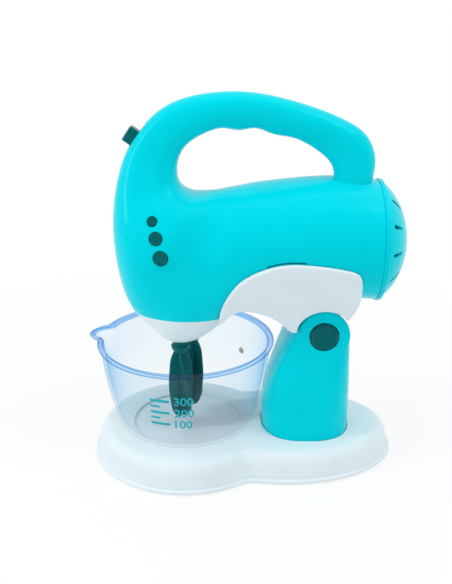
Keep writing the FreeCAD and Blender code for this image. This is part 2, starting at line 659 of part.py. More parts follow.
def head_screw_bosses(near, shell):
    """Bosses of one head shell: blind thread holes in the near one, wells for the screws in the far one."""
    side = -1 if near else 1
    limit = near_head(-V.HeadWall / 2)
    limit = limit if near else limit.mirror(MIDDLE, ACROSS)
    for x, z, head in HEAD_SCREWS:
        boss = cylinder(V.BossRadius, Vector(x, 0, z), Vector(x, side * FAR, z)).common(limit)
        shell = shell.fuse(boss)
        if near:
            shell = shell.cut(cylinder(V.ScrewRadius, Vector(x, -7, z), Vector(x, 1, z)))
        else:
            shell = shell.cut(cylinder(V.ScrewRadius + 0.2, Vector(x, -1, z), Vector(x, FAR, z)))
            shell = shell.cut(cylinder(V.ScrewHeadRadius + 0.3, Vector(x, head, z), Vector(x, FAR, z)))
    return shell


def make_head_shells():
    """The two turquoise shells, cut for the nose cup, the battery door, the switch and the buttons."""
    near = near_skin.cut(below_split).cut(door_cut).cut(slot)
    far = near_skin.mirror(MIDDLE, ACROSS).cut(below_split).cut(door_cut).cut(slot)
    for name, radius, x, z in KEYS:
        place = key_places[name]
        near = near.cut(cylinder(radius + V.KeyGap, place - key_out * 6, place + key_out * 6))
    return head_screw_bosses(True, near), head_screw_bosses(False, far)


near_shell, far_shell = make_head_shells()
piece("head_near_shell", near_shell)
piece("head_far_shell", far_shell)
piece("head_screws", Part.makeCompound([screw(Vector(x, head, z), -ACROSS, head + 5)
                                        for x, z, head in HEAD_SCREWS]))

beater_module = 2 * math.hypot(V.BeaterOffsetX, V.BeaterOffsetY) / V.BeaterTeeth
near_axis = Vector(V.BowlAxisX - V.BeaterOffsetX, -V.BeaterOffsetY, 0)
far_axis = Vector(V.BowlAxisX + V.BeaterOffsetX, V.BeaterOffsetY, 0)
spindle_hole = V.SpindleRadius + 0.3

cup = both_sides(near_skin.common(below_split))
for axis in (near_axis, far_axis):
    cup = cup.cut(cylinder(spindle_hole, axis, axis + UP * (V.BeaterTop + 8)))
    cup = cup.cut(cylinder(V.CollarRadius + 0.4, axis, axis + UP * (V.BeaterTop + 0.35)))
piece("nose_cup", cup)

barrel_axis = Vector(0, 0, V.BarrelHeight)
DOME_POINT = 1.36


def dome(radius, depth):
    """Dome on the barrel's end, a little more pointed than half an ellipsoid."""
    centre = Vector(V.BarrelEndX, 0, V.BarrelHeight)
    edge, apex = centre + UP * radius, centre + ALONG * depth
    steps = [math.pi / 2 * i / 8 for i in range(1, 8)]
    arc = [centre + UP * radius * math.cos(a) + ALONG * depth * math.sin(a) ** DOME_POINT for a in steps]
    arc = [edge] + arc + [apex]
    outline = Part.Wire([smooth_edge(arc), Part.makeLine(apex, centre), Part.makeLine(centre, edge)])
    return Part.Face(outline).revolve(centre, ALONG, 360)


def make_rear_cap():
    """Domed rear cap with a raised ring, a spigot inside the barrel and radial vents."""
    def at(x):
        return barrel_axis + ALONG * x
    end = V.BarrelEndX
    spigot = V.BarrelRadius - V.HeadWall - 0.5
    cap = dome(V.BarrelRadius, V.CapDepth).fuse(cylinder(V.BarrelRadius + V.CapRing, at(end), at(end + 2.6)))
    cap = cap.cut(dome(V.BarrelRadius - V.HeadWall, V.CapDepth - V.HeadWall))
    rim = cylinder(V.BarrelRadius, at(end), at(end + 1.2))
    ring = cylinder(spigot, at(end - 3), at(end + 1)).fuse(rim).cut(cylinder(spigot - 1.8, at(end - 4), at(FAR)))
    cap = cap.fuse(ring)
    for number in range(int(V.VentCount)):
        low = V.BarrelHeight + V.VentRadius - V.VentLength / 2
        vent = block(end + 2.7, FAR, -V.VentWidth / 2, V.VentWidth / 2, low, low + V.VentLength)
        cap = cap.cut(vent.rotated(barrel_axis, ALONG, 360 * number / V.VentCount))
    return cap


piece("rear_cap", make_rear_cap())


# Cradle
def flat_outline(curves, place):
    """A closed wire of smooth curves and straight closings, put in space by a function of two numbers."""
    edges = []
    for points in curves:
        spots = [place(a, b) for a, b in points]
        if edges and (edges[-1].Vertexes[-1].Point - spots[0]).Length > 0.01:
            edges.append(Part.makeLine(edges[-1].Vertexes[-1].Point, spots[0]))
        edges.append(smooth_edge(spots))
    first, last = edges[0].Vertexes[0].Point, edges[-1].Vertexes[-1].Point
    if (first - last).Length > 0.01:
        edges.append(Part.makeLine(last, first))
    return Part.Wire(edges)


def make_cradle():
    """White arm that carries the head: cheeks on both sides, a saddle and the hub of the tilt axis."""
    side = flat_outline([CRADLE_UPPER, CRADLE_REAR, CRADLE_LOWER], lambda x, z: Vector(x, -FAR, z))
    right = CRADLE_WIDTH
    left = [(-half, z) for half, z in CRADLE_WIDTH[::-1]]
    front = flat_outline([right, left], lambda y, z: Vector(-FAR, y, z))
    arm = prism(side, ACROSS * 2 * FAR).common(prism(front, ALONG * 2 * FAR))
    arc = V.CheekRadius + V.TiltClearance
    for rise in (UP * 0, UP * V.ArcRise):
        arm = arm.cut(cylinder(arc, at_pivot(-FAR) + rise, at_pivot(FAR) + rise))
    hub = cylinder(V.HubRadius, at_pivot(-hub_half), at_pivot(hub_half))
    neck = block(V.PivotX - neck_half, V.PivotX + neck_half, -hub_half, hub_half, V.PivotHeight,
                 V.PivotHeight + arc + V.ArcRise + 3)
    arm = arm.fuse(hub).fuse(neck).cut(both_sides(near_head(V.CradleGap)))
    arm = arm.cut(cylinder(V.PinRadius + V.RunningClearance, at_pivot(-FAR), at_pivot(FAR)))
    arm = arm.cut(cylinder(V.PinRadius + 2.4 + V.RunningClearance, at_pivot(hub_half - 2.9), at_pivot(FAR)))
    return arm.cut(cylinder(boss_outer + V.RunningClearance, at_pivot(-FAR), at_pivot(boss_floor + 0.3)))


piece("cradle_arm", make_cradle())

# Gear train and motor in the nose
plate_thickness = 2.0
lower_plate = V.GearHeight - 1 - plate_thickness
gear_top = V.GearHeight + V.GearWidth
large_bottom = gear_top + 2
upper_plate = large_bottom + 5.5
motor_bottom = upper_plate + plate_thickness
coarse = beater_module * (V.BeaterTeeth + V.SmallTeeth) / 2
fine = V.FineModule * (V.SmallTeeth + V.LargeTeeth) / 2
coarse_line, fine_line = math.radians(182), math.radians(-30)
gear_line = math.atan2(far_axis.y - near_axis.y, far_axis.x - near_axis.x)
reduction_axis = far_axis + Vector(math.cos(coarse_line), math.sin(coarse_line), 0) * coarse
motor_axis = reduction_axis + Vector(math.cos(fine_line), math.sin(fine_line), 0) * fine
far_phase = meshing_phase(gear_line, V.BeaterTeeth, gear_line, V.BeaterTeeth)
small_phase = meshing_phase(far_phase, V.BeaterTeeth, coarse_line, V.SmallTeeth)
pinion_phase = meshing_phase(fine_line, V.LargeTeeth, fine_line, V.SmallTeeth)
AXLE_RADIUS = 1.0
JOURNAL_RADIUS = 2.0
PILLARS = [(15.5, 3), (11, -12), (-15, -12)]
room = both_sides(near_room)


def nose_plate(bottom):
    """A gearbox plate that fills the nose at a height."""
    return room.common(block(-FAR, 8, -FAR, FAR, bottom, bottom + plate_thickness))


def upright(axis, radius, bottom, top):
    """A vertical cylinder on an axis."""
    return cylinder(radius, axis + UP * bottom, axis + UP * top)


def make_gear_plates():
    """Lower plate with pillars, and the upper plate that carries the motor."""
    low, high = nose_plate(lower_plate), nose_plate(upper_plate)
    for dx, dy in PILLARS:
        low = low.fuse(upright(Vector(V.BowlAxisX + dx, dy, 0), 2.2, lower_plate, upper_plate).common(room))
    for axis in (near_axis, far_axis):
        low = low.cut(upright(axis, V.SpindleRadius + V.RunningClearance, 0, FAR))
        high = high.cut(upright(axis, JOURNAL_RADIUS + V.RunningClearance, 0, FAR))
    low = low.cut(upright(reduction_axis, AXLE_RADIUS, 0, FAR))
    high = high.cut(upright(reduction_axis, AXLE_RADIUS, 0, FAR))
    return low, high.cut(upright(motor_axis, 3.2, 0, FAR))


low, high = make_gear_plates()
piece("gearbox_lower_plate", low)
piece("gearbox_upper_plate", high)


def make_beater_gear(axis, phase):
    """Beater gear with its spindle below, which has the beater's socket, and a journal above."""
    wheel = gear(V.BeaterTeeth, beater_module, phase, axis, V.GearHeight, V.GearWidth)
    wheel = wheel.fuse(upright(axis, V.SpindleRadius, V.BeaterTop + 0.3, V.GearHeight))
    wheel = wheel.fuse(upright(axis, V.SpindleRadius + 1.2, lower_plate + plate_thickness + 0.2, V.GearHeight))
    wheel = wheel.fuse(upright(axis, JOURNAL_RADIUS, gear_top, motor_bottom))
    return wheel.cut(upright(axis, V.StemRadius + 0.05, 0, V.BeaterTop + 10.5))


piece("beater_gear_near", make_beater_gear(near_axis, gear_line))
piece("beater_gear_far", make_beater_gear(far_axis, far_phase))
keep(bound_cylinder("reduction_axle", str(AXLE_RADIUS), str(motor_bottom - lower_plate),
                    reduction_axis + UP * lower_plate), "reduction_axle")
wheel = gear(V.SmallTeeth, beater_module, small_phase, reduction_axis, V.GearHeight, V.GearWidth)
wheel = wheel.fuse(gear(V.LargeTeeth, V.FineModule, fine_line, reduction_axis, large_bottom, 3))
wheel = wheel.fuse(upright(reduction_axis, 2.6, lower_plate + plate_thickness + 0.2, upper_plate - 0.2))
piece("reduction_gear", wheel.cut(upright(reduction_axis, AXLE_RADIUS + V.RunningClearance, 0, FAR)))
pinion = gear(V.SmallTeeth, V.FineModule, pinion_phase, motor_axis, large_bottom - 0.6, 4.6)
piece("motor_pinion", pinion.fuse(upright(motor_axis, AXLE_RADIUS, large_bottom - 0.6, motor_bottom + 6)))
can = upright(motor_axis, V.MotorRadius, motor_bottom, motor_bottom + V.MotorLength)
can = can.common(block(-FAR, FAR, motor_axis.y - 7.6, motor_axis.y + 7.6, 0, FAR))
can = can.fuse(upright(motor_axis, 3.1, motor_bottom - 1.5, motor_bottom + V.MotorLength + 1.6))
piece("motor_can", can.cut(upright(motor_axis, AXLE_RADIUS + V.RunningClearance, 0, motor_bottom + 6.5)))

# Beaters
BEATER_OUTLINE = [(66.5, 3.3), (63, 4.8), (54, 6.3), (44, 7.4), (35, 7.6), (28, 7.0), (24.2, 5.2), (22.2, 3.2)]


def vane_section(axis, radius, angle, height):
    """A cross of two thin bars, turned by an angle."""
    half = V.VaneThickness / 2
    corners = []
    for quarter in range(4):
        heading = angle + quarter * math.pi / 2
        out = Vector(math.cos(heading), math.sin(heading), 0)
        side = Vector(-out.y, out.x, 0)
        corners += [out * radius - side * half, out * radius + side * half, out * half + side * half]
    corners = [axis + c + UP * height for c in corners]
    return Part.makePolygon(corners + [corners[0]])


def make_beater(axis, hand):
    """Beater with four twisted vanes, a flared collar and a stem for the socket."""
    span = V.BeaterTop - V.BeaterBottom
    top, bottom = BEATER_OUTLINE[0][0], BEATER_OUTLINE[-1][0]
    rings = []
    for height, radius in BEATER_OUTLINE:
        share = (top - height) / (top - bottom)
        place = V.BeaterBottom + (height - bottom) / (70.6 - bottom) * span
        scaled = radius * V.BeaterRadius / 7.6
        rings.append(vane_section(axis, scaled, hand * math.radians(V.VaneTwist) * share, place))
    vanes = Part.makeLoft(rings, True, False, False)
    neck = V.CollarRadius * 0.62
    flare = Part.makeCone(neck, V.CollarRadius, 3.2, axis + UP * (V.BeaterTop - 5), UP)
    body = vanes.fuse(flare).fuse(upright(axis, V.CollarRadius, V.BeaterTop - 1.8, V.BeaterTop))
    body = body.fuse(upright(axis, 1.5, V.BeaterBottom + 1, V.BeaterTop))
    return body.fuse(upright(axis, V.StemRadius, V.BeaterTop - 1, V.BeaterTop + 10))


piece("beater_near", make_beater(near_axis, 1))
piece("beater_far", make_beater(far_axis, -1))

# Batteries in the barrel
cell_y = V.CellRadius + 0.35
cell_end = V.CellX + V.CellLength
cells = []
for name, y in (("near", -cell_y), ("far", cell_y)):
    place = Vector(V.CellX, y, V.CellHeight)
    cells.append(bound_cylinder("cell_" + name, "Sizes.CellRadius", "Sizes.CellLength - 1", place, ALONG))
    cells.append(bound_cylinder("nub_" + name, "2.7", "Sizes.CellLength", place, ALONG))
keep(bound_fuse("battery_cells", cells), "battery_cells")


def make_tray():
    """Battery tray: a deck across the barrel with a groove for each cell and a wall at each end."""
    deck = room.common(block(V.CellX - 3.2, cell_end + 3.5, -FAR, FAR, V.CellHeight + 4.4, V.CellHeight + 9))
    low = V.CellHeight - V.CellRadius + 0.6
    for x0, x1 in ((V.CellX - 3.2, V.CellX - 1.2), (cell_end + 1.5, cell_end + 3.5)):
        wall = block(x0, x1, -2 * cell_y, 2 * cell_y, low, V.CellHeight + 5)
        deck = deck.fuse(wall.common(room))
    for y in (-cell_y, cell_y):
        groove = Vector(V.CellX - 1.2, y, V.CellHeight)
        deck = deck.cut(cylinder(V.CellRadius + 0.2, groove, groove + ALONG * (V.CellLength + 2.7)))
    return deck


def make_contacts():
    """Contact plates at both ends of the cells, each with a bump for every cell."""
    plates = []
    for plate_x, bump_x, bump in ((V.CellX - 1.2, V.CellX - 0.9, 0.8), (cell_end + 1.1, cell_end + 0.1, 1.1)):
        plate = block(plate_x, plate_x + 0.4, -1.7 * cell_y, 1.7 * cell_y, V.CellHeight - 5, V.CellHeight + 4)
        for y in (-cell_y, cell_y):
            start = Vector(bump_x, y, V.CellHeight)
            plate = plate.fuse(cylinder(2.4, start, start + ALONG * bump))
        plates.append(plate)
    return Part.makeCompound(plates)


piece("battery_tray", make_tray())
piece("battery_contacts", make_contacts())
gap = V.DoorGap
door = both_sides(near_skin).common(block(V.CellX + gap, door_end - gap, gap - door_half, door_half - gap, 0,
                                          V.CellHeight))
piece("battery_door", door)

# Switch and speed buttons
wall = V.HeadWall
thumb = slab(switch_frame, (-switch_half, switch_half), (-wall - 2.6, V.SwitchProud),
             (-V.SwitchWidth / 2, V.SwitchWidth / 2))
top_edges = [e for e in thumb.Edges if all((v.Point - switch_place).dot(switch_frame[2]) > V.SwitchProud - 0.1
                                            for v in e.Vertexes)]
thumb = thumb.makeFillet(1.3, top_edges)
runner = slab(switch_frame, (-switch_half - 2.2, switch_half + 2.2), (-wall - 3.8, -wall - 2.6),
              (-V.SwitchWidth / 2 - 1, V.SwitchWidth / 2 + 1))
piece("switch_slider", thumb.fuse(runner))
block_top = -wall - 4.1
contact = slab(switch_frame, (-6, 6 + V.SwitchTravel), (block_top - 5.5, block_top), (-3.5, 3.5))
bracket = slab(switch_frame, (-3, 3 + V.SwitchTravel), (block_top - 7, block_top - 5.5), (-FAR, FAR)).common(room)
piece("switch_body", contact.fuse(bracket))

for name, radius, x, z in KEYS:
    steps = [(str(radius + 1.1), "1.0"), (str(radius), "%.2f + Sizes.KeyProud" % key_back)]
    keep(disc_body(name, steps, key_places[name] - key_out * key_back, key_out, 0.5), name)


def make_board():
    """Circuit board behind the speed buttons, with a contact post for each and two posts to the shell."""
    level = min(place.dot(key_out) for place in key_places.values()) - key_back - V.KeyTravel - 2.2
    centre = sum(key_places.values(), Vector()) * (1 / len(key_places))
    middle = centre + key_out * (level - centre.dot(key_out))
    side = Vector(key_out.y, -key_out.x, 0).normalize()
    upwards = side.cross(key_out)
    half_width, low_end, high_end = 6, -19.5, 13.5
    corners = [middle + side * a + upwards * b for a, b in ((-half_width, low_end), (half_width, low_end),
                                                       (half_width, high_end), (-half_width, high_end))]
    board = prism(Part.makePolygon(corners + [corners[0]]), key_out * -1.6).common(near_room)
    for place in key_places.values():
        tip = place - key_out * (key_back + V.KeyTravel + 0.1)
        foot_point = tip - key_out * (tip.dot(key_out) - level)
        board = board.fuse(cylinder(1.5, foot_point - key_out * 0.5, tip))
    for across, height in ((0, low_end + 2), (-4.3, 9.5)):
        start = middle + side * across + upwards * height
        board = board.fuse(cylinder(1.4, start - key_out * 0.5, start + key_out * 20).common(near_inner))
    return board


piece("button_board", make_board())

# Bowl
bowl_bottom = seat_top
lip_bottom = bowl_bottom + V.BowlHeight - V.BowlLipHeight
bowl_top = bowl_bottom + V.BowlHeight
wall_top_radius = V.BowlRimRadius - V.BowlLipProud
wall_bottom = bowl_bottom + V.BowlFloorTurn


def wall_levels(start, end, count):
    """Outlines of the bowl's wall: nearly a cone, a little rounder towards its foot."""
    levels = []
    for i in range(count):
        height = start + (end - start) * i / (count - 1)
        share = (height - wall_bottom) / (lip_bottom - wall_bottom)
        bulge = 1 - (1 - min(share, 1)) ** 2
        radius = V.BowlFloorRadius + (wall_top_radius - V.BowlFloorRadius) * (0.4 * share + 0.6 * bulge)
        spout = V.SpoutReach * max(0, 1 - (bowl_top - height) / V.SpoutDepth) ** 1.4
        levels.append((radius, height, spout))
    return levels


def make_bowl():
    """Clear bowl with a flat foot, a thicker lip and a pouring spout."""
    outer_wall = wall_levels(wall_bottom, bowl_top, 7)
    outer = polar_bowl(0, bowl_foot(bowl_bottom, outer_wall[0][0]), True).fuse(polar_bowl(0, outer_wall))
    inner_wall = wall_levels(wall_bottom + V.BowlWall, bowl_top + 1, 7)
    inner = polar_bowl(V.BowlWall, bowl_foot(bowl_bottom + V.BowlWall, inner_wall[0][0]), True)
    inner = inner.fuse(polar_bowl(V.BowlWall, inner_wall))
    lip = polar_bowl(0, [(V.BowlRimRadius, lip_bottom, V.SpoutReach * 0.8),
                         (V.BowlRimRadius, bowl_top, V.SpoutReach)])
    return outer.fuse(lip).cut(inner)


piece("bowl", make_bowl())

# Checks and files
doc.recompute()
for item in doc.Objects:
    if "Invalid" in item.State or "Error" in item.State:
        raise RuntimeError("%s failed: %s" % (item.Label, item.State))
os.makedirs("parts", exist_ok=True)
for item in PARTS:
    if item.Shape.isNull() or not item.Shape.isValid() or not item.Shape.Solids:
        raise RuntimeError("%s has no sound shape" % item.Label)
    item.Shape.exportStep(os.path.join("parts", item.Label + ".step"))
    print("%-24s %2d solid %10.1f mm3" % (item.Label, len(item.Shape.Solids), item.Shape.Volume))
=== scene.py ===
# %% [markdown]
# A toy stand mixer, dressed for its portrait.
#
# The mixer is a turquoise moulded head on a white two-lobed base, with a clear bowl and two beaters.
# The frame that is loaded here holds the working parts in metres, each at its own place.
# This lesson gives them a finish, makes the large skins afresh as smooth surfaces, and lights the scene.

import json
import math

import bmesh
import bpy
import numpy as np
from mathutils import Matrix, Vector


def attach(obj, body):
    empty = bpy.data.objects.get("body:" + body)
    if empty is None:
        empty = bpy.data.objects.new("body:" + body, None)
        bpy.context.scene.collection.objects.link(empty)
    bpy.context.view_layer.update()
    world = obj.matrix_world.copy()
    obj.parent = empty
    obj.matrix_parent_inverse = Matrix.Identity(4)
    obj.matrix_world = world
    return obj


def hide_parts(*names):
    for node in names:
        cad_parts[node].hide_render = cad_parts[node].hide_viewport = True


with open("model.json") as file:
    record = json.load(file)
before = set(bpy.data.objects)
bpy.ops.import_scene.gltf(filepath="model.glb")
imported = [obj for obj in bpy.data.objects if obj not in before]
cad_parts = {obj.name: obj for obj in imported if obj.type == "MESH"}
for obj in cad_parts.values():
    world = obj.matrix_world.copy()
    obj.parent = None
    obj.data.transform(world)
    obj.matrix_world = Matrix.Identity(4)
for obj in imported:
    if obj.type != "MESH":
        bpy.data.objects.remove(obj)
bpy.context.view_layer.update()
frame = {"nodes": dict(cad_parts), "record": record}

# %% [markdown]
# The camera stands a little to the left of the middle, 43 cm in front of the mixer, and looks down by 21
# degrees. From that near, the round bowl and the lobes of the base show a strong perspective, so the lens
# was worked out from how wide the bowl's rim looks in front and at the back.

# %% The camera
camera_data = bpy.data.cameras.new("portrait_camera")
camera_data.sensor_fit = "VERTICAL"
camera_data.sensor_height = 36
camera_data.lens = 48.575
camera_data.clip_start = 0.02
camera = bpy.data.objects.new("portrait_camera", camera_data)
camera.location = (-0.009, -0.430, 0.267)
camera.rotation_euler = (math.radians(69), 0, 0)
bpy.context.scene.collection.objects.link(camera)
bpy.context.scene.camera = camera
print("camera:", camera_data.lens, "mm lens")

# %% [markdown]
# A shader is a small network. Most of the finishes here share one recipe: the Principled shader with a
# colour that wanders a little, a roughness with faint handling marks, and a bump of the moulding's texture.
# One helper builds that recipe, so that each finish below is a short list of its own numbers.


# %% The recipe for moulded plastic
def linear(colour):
    """Turns screen values from 0 to 255 into the light values that a shader takes."""
    c = np.asarray(colour, float) / 255
    return tuple(np.where(c <= 0.04045, c / 12.92, ((c + 0.055) / 1.055) ** 2.4)) + (1.0,)


def plastic(name, colour, roughness, grain=900, bump=0.02, wander=0.03, specular=0.3, shine=(1, 1, 1)):
    """Moulded finish: colour times one plus a little noise, roughness plus noise, and a fine bump."""
    material = bpy.data.materials.new(name)
    material.use_nodes = True
    nodes, links = material.node_tree.nodes, material.node_tree.links
    shader = nodes["Principled BSDF"]
    place = nodes.new("ShaderNodeTexCoord")
    cloud = nodes.new("ShaderNodeTexNoise")
    cloud.inputs["Scale"].default_value = 38
    cloud.inputs["Detail"].default_value = 3
    links.new(place.outputs["Object"], cloud.inputs["Vector"])
    tint = nodes.new("ShaderNodeValToRGB")
    base = np.array(linear(colour))
    tint.color_ramp.elements[0].color = tuple(np.append(base[:3] * (1 - wander), 1))
    tint.color_ramp.elements[1].color = tuple(np.append(np.minimum(base[:3] * (1 + wander), 1), 1))
    tint.color_ramp.elements[0].position, tint.color_ramp.elements[1].position = 0.3, 0.7
    links.new(cloud.outputs["Fac"], tint.inputs["Fac"])
    links.new(tint.outputs["Color"], shader.inputs["Base Color"])
    wear = nodes.new("ShaderNodeMapRange")
    wear.inputs["To Min"].default_value = roughness * 0.85
    wear.inputs["To Max"].default_value = roughness * 1.15
    links.new(cloud.outputs["Fac"], wear.inputs["Value"])
    links.new(wear.outputs["Result"], shader.inputs["Roughness"])
    fine = nodes.new("ShaderNodeTexNoise")
    fine.inputs["Scale"].default_value = grain
    fine.inputs["Detail"].default_value = 2
    links.new(place.outputs["Object"], fine.inputs["Vector"])
    relief = nodes.new("ShaderNodeBump")
    relief.inputs["Strength"].default_value = bump
    relief.inputs["Distance"].default_value = 0.0002
    links.new(fine.outputs["Fac"], relief.inputs["Height"])
    links.new(relief.outputs["Normal"], shader.inputs["Normal"])
    shader.inputs["Specular IOR Level"].default_value = specular
    shader.inputs["Specular Tint"].default_value = shine + (1,)
    print("finish:", name)
    return material


# %% Finishes
turquoise = plastic("turquoise_gloss", (0, 213, 226), 0.2, specular=0.12, shine=(0.12, 0.9, 1))
white = plastic("white_satin", (225, 238, 242), 0.42, specular=0.15)
teal = plastic("teal_gloss", (0, 88, 90), 0.2, specular=0.4, shine=(0.12, 0.9, 1))
grey = plastic("grey_moulding", (140, 144, 146), 0.5, bump=0.06)
acetal = plastic("natural_acetal", (226, 220, 204), 0.42)
rubber = plastic("soft_rubber", (196, 200, 202), 0.75, bump=0.2)
board = plastic("resin_board", (28, 84, 44), 0.45)
sleeve = plastic("cell_sleeve", (46, 48, 52), 0.4)
steel = plastic("zinc_steel", (178, 180, 184), 0.3, grain=2500, bump=0.1)
steel.node_tree.nodes["Principled BSDF"].inputs["Metallic"].default_value = 1
brass = plastic("turned_brass", (196, 160, 92), 0.28, grain=2500, bump=0.1)
brass.node_tree.nodes["Principled BSDF"].inputs["Metallic"].default_value = 1
mark = plastic("gate_mark", (196, 184, 174), 0.5)
ink = plastic("turquoise_print", (0, 172, 186), 0.4)


def blended(tree, share, first, second):
    """A colour that goes from the first to the second with a share from another socket."""
    mix = tree.nodes.new("ShaderNodeMix")
    mix.data_type = "RGBA"
    tree.links.new(share, mix.inputs[0])
    for socket, colour in ((mix.inputs[6], first), (mix.inputs[7], second)):
        if isinstance(colour, tuple):
            socket.default_value = colour + (1,)
        else:
            tree.links.new(colour, socket)
    return mix.outputs[2]


def clear(name, wall, wall_edge, rim, rim_edge, rim_height):
    """Clear plastic: what lies behind, tinted a little straight on and more where the wall is seen along its
    length, under a gloss that grows with the fourth power of the glancing angle, with a trace of haze.
    The tint grows from the foot up, a thin line marks where the lip begins, and the lip has its own tint.
    Light on its way to other pieces goes through it nearly unchanged."""
    material = bpy.data.materials.new(name)
    material.use_nodes = True
    tree = material.node_tree
    nodes, links = tree.nodes, tree.links
    nodes.remove(nodes["Principled BSDF"])
    place = nodes.new("ShaderNodeTexCoord")
    split = nodes.new("ShaderNodeSeparateXYZ")
    links.new(place.outputs["Object"], split.inputs["Vector"])
    shares = []
    zones = (0.02, 0.055), (rim_height - 0.0006, rim_height), (rim_height + 0.0008, rim_height + 0.0016)
    for low, high in zones:
        share = nodes.new("ShaderNodeMapRange")
        share.inputs["From Min"].default_value, share.inputs["From Max"].default_value = low, high
        links.new(split.outputs["Z"], share.inputs["Value"])
        shares.append(share.outputs["Result"])
    turned_away = nodes.new("ShaderNodeLayerWeight")
    turned_away.inputs["Blend"].default_value = 0.35
    powers = []
    for power in (1.6, 2, 4, 12):
        raised = nodes.new("ShaderNodeMath")
        raised.operation = "POWER"
        raised.inputs[1].default_value = power
        links.new(turned_away.outputs["Facing"], raised.inputs[0])
        powers.append(raised.outputs["Value"])
    foot = blended(tree, powers[3], (0.985, 0.99, 0.993), wall_edge)
    bare = blended(tree, powers[1], wall, wall_edge)
    lip = blended(tree, powers[0], rim, rim_edge)
    line = blended(tree, powers[0], (0.35, 0.62, 0.92), rim_edge)
    tint = blended(tree, shares[0], foot, bare)
    tint = blended(tree, shares[1], tint, line)
    tint = blended(tree, shares[2], tint, lip)
    through_light = nodes.new("ShaderNodeBsdfTransparent")
    links.new(tint, through_light.inputs["Color"])
    haze = nodes.new("ShaderNodeBsdfDiffuse")
    haze.inputs["Color"].default_value = (0.6, 0.78, 0.95, 1)
    hazy = nodes.new("ShaderNodeMixShader")
    hazy.inputs["Fac"].default_value = 0.012
    links.new(through_light.outputs["BSDF"], hazy.inputs[1])
    links.new(haze.outputs["BSDF"], hazy.inputs[2])
    shine = nodes.new("ShaderNodeBsdfGlossy")
    shine.inputs["Roughness"].default_value = 0.06
    law = nodes.new("ShaderNodeMath")
    law.operation = "MULTIPLY_ADD"
    law.inputs[1].default_value, law.inputs[2].default_value = 0.35, 0.008
    links.new(powers[2], law.inputs[0])
    glossy = nodes.new("ShaderNodeMixShader")
    links.new(law.outputs["Value"], glossy.inputs["Fac"])
    links.new(hazy.outputs["Shader"], glossy.inputs[1])
    links.new(shine.outputs["BSDF"], glossy.inputs[2])
    path = nodes.new("ShaderNodeLightPath")
    lights_way = nodes.new("ShaderNodeMath")
    lights_way.operation = "MAXIMUM"
    links.new(path.outputs["Is Shadow Ray"], lights_way.inputs[0])
    links.new(path.outputs["Is Diffuse Ray"], lights_way.inputs[1])
    open_way = nodes.new("ShaderNodeBsdfTransparent")
    open_way.inputs["Color"].default_value = (0.985, 0.99, 0.995, 1)
    passing = nodes.new("ShaderNodeMixShader")
    links.new(lights_way.outputs["Value"], passing.inputs["Fac"])
    links.new(glossy.outputs["Shader"], passing.inputs[1])
    links.new(open_way.outputs["BSDF"], passing.inputs[2])
    links.new(passing.outputs["Shader"], nodes["Material Output"].inputs["Surface"])
    print("finish:", name)
    return material


bowl_clear = clear("clear_blue_tint", wall=(0.93, 0.97, 0.99), wall_edge=(0.5, 0.76, 0.95),
                   rim=(0.78, 0.9, 0.98), rim_edge=(0.02, 0.28, 0.74), rim_height=0.0712)

FINISH_OF_SLOT = {
    "turquoise_plastic": turquoise, "white_plastic": white, "teal_plastic": teal, "clear_plastic": bowl_clear,
    "inner_plastic": grey, "gear_plastic": acetal, "steel": steel, "brass": brass, "rubber": rubber,
    "circuit_board": board, "cell_sleeve": sleeve,
}
for entry in frame["record"]["subparts"]:
    node = frame["nodes"][entry["node"]]
    node.data.materials.clear()
    node.data.materials.append(FINISH_OF_SLOT[entry["material_slot"]])

# %% [markdown]
# Every new skin below is a grid: a function gives a place for each pair of two numbers, one along the piece
# and one around it. The whole grid is one array, and a helper turns it into a mesh. A second helper draws a
# smooth line through a few measured places, because the head and the column were measured at stations.


# %% Grids and smooth lines
def through(knots, values, at):
    """Natural cubic spline: between two knots the value is a cubic, and slope and bend are continuous."""
    knots, values, at = np.asarray(knots, float), np.asarray(values, float), np.asarray(at, float)
    step = np.diff(knots)
    inner = np.arange(1, len(knots) - 1)
    system = np.eye(len(knots))
    system[inner, inner - 1], system[inner, inner + 1] = step[:-1], step[1:]
    system[inner, inner] = 2 * (step[:-1] + step[1:])
    flat = values.reshape(len(knots), -1)
    slope = np.diff(flat, axis=0) / step[:, None]
    right = np.zeros_like(flat)
    right[1:-1] = 6 * np.diff(slope, axis=0)
    bend = np.linalg.solve(system, right)
    i = np.clip(np.searchsorted(knots, at, side="right") - 1, 0, len(knots) - 2)
    b = ((at - knots[i]) / step[i])[:, None]
    a = 1 - b
    curve = (a**3 - a) * bend[i] + (b**3 - b) * bend[i + 1]
    out = a * flat[i] + b * flat[i + 1] + curve * step[i][:, None] ** 2 / 6
    return out.reshape((len(at),) + values.shape[1:])


def chords(points):
    """Distance along a row of places, from the first to each, as a share of the whole."""
    steps = np.linalg.norm(np.diff(points, axis=0), axis=-1)
    steps = steps.reshape(len(steps), -1).mean(axis=1)
    return np.concatenate([[0], np.cumsum(steps)]) / steps.sum()


